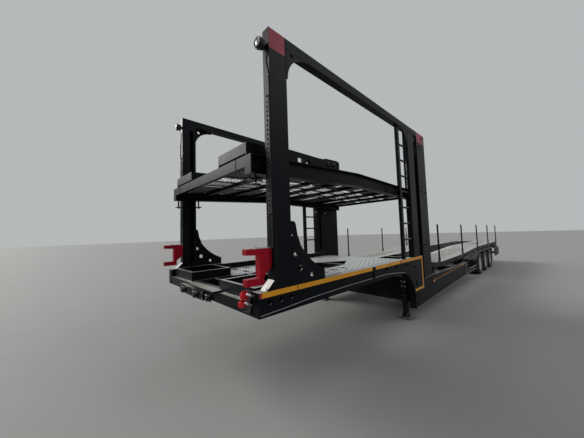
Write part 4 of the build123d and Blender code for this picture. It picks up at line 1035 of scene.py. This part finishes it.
def brake_trim():
    pot = [(0, 0.0), (0.045, 0.0), (0.072, 0.01), (0.08, 0.04), (0.081, 0.058), (0.088, 0.06), (0.09, 0.066),
           (0.09, 0.078), (0.088, 0.084), (0.081, 0.086), (0.08, 0.11), (0.078, 0.15), (0.068, 0.168),
           (0.03, 0.175), (0, 0.175)]
    boss = [(0, 0.07), (0.016, 0.07), (0.018, 0.065), (0.018, -0.03), (0, -0.03)]
    x, z = CHAMBER_X, CHAMBER_Z
    chambers, levers = [turned(pot, 36, REAR, *[(x, s + 0.14, z) for s in AXLES])], []
    for s in AXLES:
        chambers += [slab(x - 0.07, x + 0.07, s + 0.128, s + 0.141, 0.36, 0.5, 0.003),
                     slab(x - 0.008, x + 0.008, s + 0.055, s + 0.13, 0.36, 0.44, 0.003)]
        chambers += bolts(0.012, FRONT, (x - 0.04, s + 0.128, z), (x + 0.04, s + 0.128, z))
        levers.append(tube([(x, s + 0.13, z), (0.603, s + 0.11, 0.4), (0.625, s + 0.1, 0.34),
                            (0.63, s + 0.1, 0.31)], 0.006, 20, 8))
        lever = [(s + 0.075, 0.29), (s + 0.12, 0.28), (s + 0.118, 0.33), (s + 0.1, 0.35), (s + 0.082, 0.33)]
        levers += [turned(boss, 18, LEFT, (0.64, s + 0.1, 0.3)), prism(lever, 0.618, 0.64)]
    pair("brake_chambers", paint, chambers)
    pair("slack_adjusters", dark_steel, levers)


# Air tanks: straps, seams, ports and drain valves, and the pipes along the chassis
def tank_trim():
    hoop = both_ways([(0.1155, 0.016), (0.1185, 0.016)])
    seam = both_ways([(0.115, 0.004), (0.117, 0.0015)])
    drain = [(0, 0.03), (0.008, 0.03), (0.009, 0.012), (0.014, 0.011), (0.014, 0)]
    port = [(0, 0.022), (0.01, 0.022), (0.012, 0.02), (0.012, 0)]
    straps, ports = [], []
    for s in (8.0, 8.36):
        straps.append(turned(hoop, 48, LEFT, *[(x, s, TANK_Z) for x in (-0.19, 0.19)]))
        straps.append(turned(seam, 48, LEFT, *[(x, s, TANK_Z) for x in (-0.255, 0.255)]))
        straps += [slab(x - 0.016, x + 0.016, s - 0.04, s - 0.028, 0.55, 0.6) for x in (-0.19, 0.19)]
        ports += [turned(drain, 6, DOWN, (0, s, 0.3255)), turned(port, 6, LEFT, (0.308, s, TANK_Z)),
                  turned(port, 6, RIGHT, (-0.308, s, TANK_Z))]
    piece("tank_straps", "trailer", paint, straps)
    piece("tank_ports", "trailer", zinc, ports)


def brake_pipes():
    """Three pipes along the left chassis beam, which rise where the beam does, and their clips."""
    rise = 0.36
    line = [(3.76, 0), (5.0, 0), (6.8, 0), (8.2, 0), (8.45, 0), (8.62, 0.02), (9.12, 0.33), (9.34, rise),
            (10.2, rise), (11.6, rise), (12.9, rise)]
    pipes = [tube([(0.436, s, z + up) for s, up in line], 0.0065, 160, 8) for z in (0.36, 0.385, 0.41)]
    clips = [(s, 0.35) for s in (4.1, 4.9, 5.7, 6.5, 7.3, 8.1)]
    clips += [(s, 0.35 + rise) for s in (9.6, 10.3, 11.0, 11.7, 12.4)]
    piece("brake_pipes", "trailer", hose_rubber, pipes)
    saddles = [slab(0.427, 0.444, s - 0.01, s + 0.01, z, z + 0.07, 0.002) for s, z in clips]
    piece("pipe_clips", "trailer", zinc, saddles)


# Fenders, mudflaps and loading ramps
def fender_trim():
    heads = bolts(0.01, LEFT, *[(HALF, s, 0.853) for s in np.arange(9.8, 12.9, 0.38)])
    heads += bolts(0.01, REAR, *[(x, 12.958, 0.835) for x in (0.99, 1.06, 1.13, 1.2)])
    pair("fender_bolts", zinc, heads)
    pair("mudflap_bars", paint, [slab(0.965, 1.235, 12.957, 12.963, 0.815, 0.855)])
    ribs = [slab(x - 0.0035, x + 0.0035, 12.957, 12.9605, 0.235, 0.79, 0.001)
            for x in np.arange(0.98, 1.23, 0.02)]
    ribs += [slab(0.972, 1.228, 12.957, 12.961, z, z + 0.006, 0.001) for z in (0.228, 0.795)]
    pair("mudflap_ribs", flap_rubber, ribs)


def ramp_trim():
    cleats = [slab(x, x + 0.13, s - 0.006, s + 0.006, 0.959, 0.969, 0.0015)
              for s in np.arange(11.2, 14.36, 0.075) for x in (0.035, 0.215)]
    pair("ramp_cleats", zinc, cleats, "deck_plate")
    bow = [(0.12, 14.388), (0.122, 14.425), (0.15, 14.44), (0.23, 14.44), (0.258, 14.425), (0.26, 14.388)]
    pair("ramp_handles", zinc, [tube([(*at, 0.92) for at in bow], 0.007, 40)])


# Upper deck: bar seams, bearings and rollers behind the wheel boxes, nuts of the locking feet
def upper(s):
    return height_on(UPPER_LINE, s)


def upper_deck_trim():
    seams = [bead([(0.86, -0.0005, 2.402), (0.86, -0.0005, 2.51)], 0.0035, REAR),
             bead([(1.03, 0.061, upper(0.05) - 0.18), (1.03, 0.061, upper(0.05) - 0.01)], 0.005, LEFT)]
    seams += [bead([(x, s, upper(s) + 0.001) for s in (0.03, 0.64, 1.28)], 0.004) for x in (0.426, 1.029)]
    pair("upper_deck_welds", paint, seams, smooth=60, body="upper_deck")
    flange = [(0, 0.02), (0.016, 0.02), (0.018, 0.012), (0.034, 0.012), (0.036, 0.009), (0.044, 0.006),
              (0.045, 0)]
    works = []
    for s, above in ((1.36, 0.075), (1.48, 0.08)):
        z = upper(s) + above
        works += [turned(flange, 32, LEFT, (1.03, s, z)), turned(flange, 32, RIGHT, (0.79, s, z))]
        works += bolts(0.009, LEFT, *circle(1.036, s, z, 0.04, 4, 0.5))
    roller = both_ways([(0, 0.05), (0.012, 0.05), (0.013, 0.042), (0.03, 0.04), (0.032, 0.036)])
    works.append(turned(roller, 28, LEFT, *[(0.98, 1.59, upper(1.59) + above) for above in (0.04, 0.11)]))
    works += [slab(x, x + 0.006, 1.558, 1.6, upper(1.58), upper(1.58) + 0.15) for x in (0.925, 1.03)]
    pair("deck_rollers", paint, works, body="upper_deck")
    pins = []
    for s in (0.067, 0.40, 3.507, 3.89):
        z = upper(s) - 0.299
        pins += [placed(nut(0.02), DOWN, [(1.118, s, z - 0.008)]),
                 slab(1.09, 1.146, s - 0.028, s + 0.028, z + 0.0045, z + 0.01)]
    pair("locking_foot_nuts", zinc, pins, body="upper_deck")


def tail_trim():
    """Bumper ends, and the rims of the holes in the tail's side plates."""
    caps = [slab(1.149, 1.158, 14.652, 14.728, 0.422, 0.518, 0.003)]
    pair("bumper_caps", plastic, caps + bolts(0.012, REAR, *[(x, 14.73, 0.47) for x in (0.35, 0.55)]))
    rim = [(0.089, 0.004), (0.092, 0.006), (0.101, 0.006), (0.104, 0.004), (0.104, 0.0), (0.089, 0.0)]
    pair("tail_hole_rims", paint, [turned(rim, 40, LEFT, (HALF - 0.001, 13.8, 0.61))])


def coupler_bolts():
    heads = [(x, s, 0.963) for x in (-0.42, 0.42) for s in (0.75, 0.97, 1.19, 1.41, 1.63)]
    piece("coupler_bolts", "trailer", dark_steel, bolts(0.016, DOWN, *heads))


# Stage
def floor(reach=120, cells=6):
    """A pale floor of square cells from -reach to reach both ways, 1 mm under the tyres."""
    f = Finish("floor")
    speckle = f.noise(1.5, 6.0, 0.6)
    color = f.mix(speckle * 0.25, (0.31, 0.305, 0.292), (0.27, 0.266, 0.256))
    lines = np.linspace(-reach, reach, cells + 1)
    x, y = np.meshgrid(lines, lines)
    corners = np.stack((x, y, 0 * x - 0.001), -1).reshape(-1, 3)
    index = np.arange(x.size).reshape(x.shape)
    quads = np.stack((index[:-1, :-1], index[:-1, 1:], index[1:, 1:], index[1:, :-1]), -1).reshape(-1, 4)
    data = bpy.data.meshes.new("floor")
    data.from_pydata(corners.tolist(), [], quads.tolist())
    data.materials.append(f.done(base_color=color, roughness=0.75 + 0.1 * speckle))
    made = bpy.data.objects.new("floor", data)
    bpy.context.scene.collection.objects.link(made)


def backdrop():
    """The world lights the trailer with a cool white; the camera and reflections see a pale grey instead."""
    world = bpy.data.worlds.new("studio")
    bpy.context.scene.world = world
    tree = Tree(world)
    seen = tree.node("ShaderNodeLightPath", output="Is Camera Ray")
    for ray in ("Is Glossy Ray", "Is Transmission Ray"):
        seen = seen.math("MAXIMUM", seen, tree.node("ShaderNodeLightPath", output=ray))
    light = tree.node("ShaderNodeBackground", None, {"Color": (0.9, 0.95, 1.0), "Strength": 0.5})
    pale = tree.node("ShaderNodeBackground", None, {"Color": (0.47, 0.485, 0.49), "Strength": 1.0})
    tree.end("ShaderNodeOutputWorld", tree.node("ShaderNodeMixShader", None, {0: seen, 1: light, 2: pale}))


def lamps():
    """Two soft suns that shine from their sources towards the origin."""
    suns = (("key", (-0.85, -0.36, 0.5), 2.3, (1.0, 0.98, 0.94)),
            ("fill", (0.7, 0.5, 0.6), 0.35, (0.94, 0.97, 1.0)))
    for name, source, power, tint in suns:
        data = bpy.data.lights.new(name, "SUN")
        data.angle, data.energy, data.color = 0.5, power, tint
        aimed(name, data, *toward(source), np.array(source) * 20)


tapes()
for number, station in enumerate(AXLES, 1):
    for side, name in ((1, "left"), (-1, "right")):
        wheel(number, station, side, name)
for make in (
    work_lamps, brackets, air_couplings, sockets, frame_welds, frame_edges, frame_bolts, ladder_trim,
    stanchion_trim, rail_trim, marker_lamps, tail_lamps, rear_racks, lift_ropes, low_side_trim,
    control_valves, leg_trim, spring_trim, brake_trim, tank_trim, brake_pipes, fender_trim, ramp_trim,
    upper_deck_trim, tail_trim, coupler_bolts, floor, backdrop, lamps,
):
    make()
bpy.context.scene.view_settings.view_transform = "Standard"
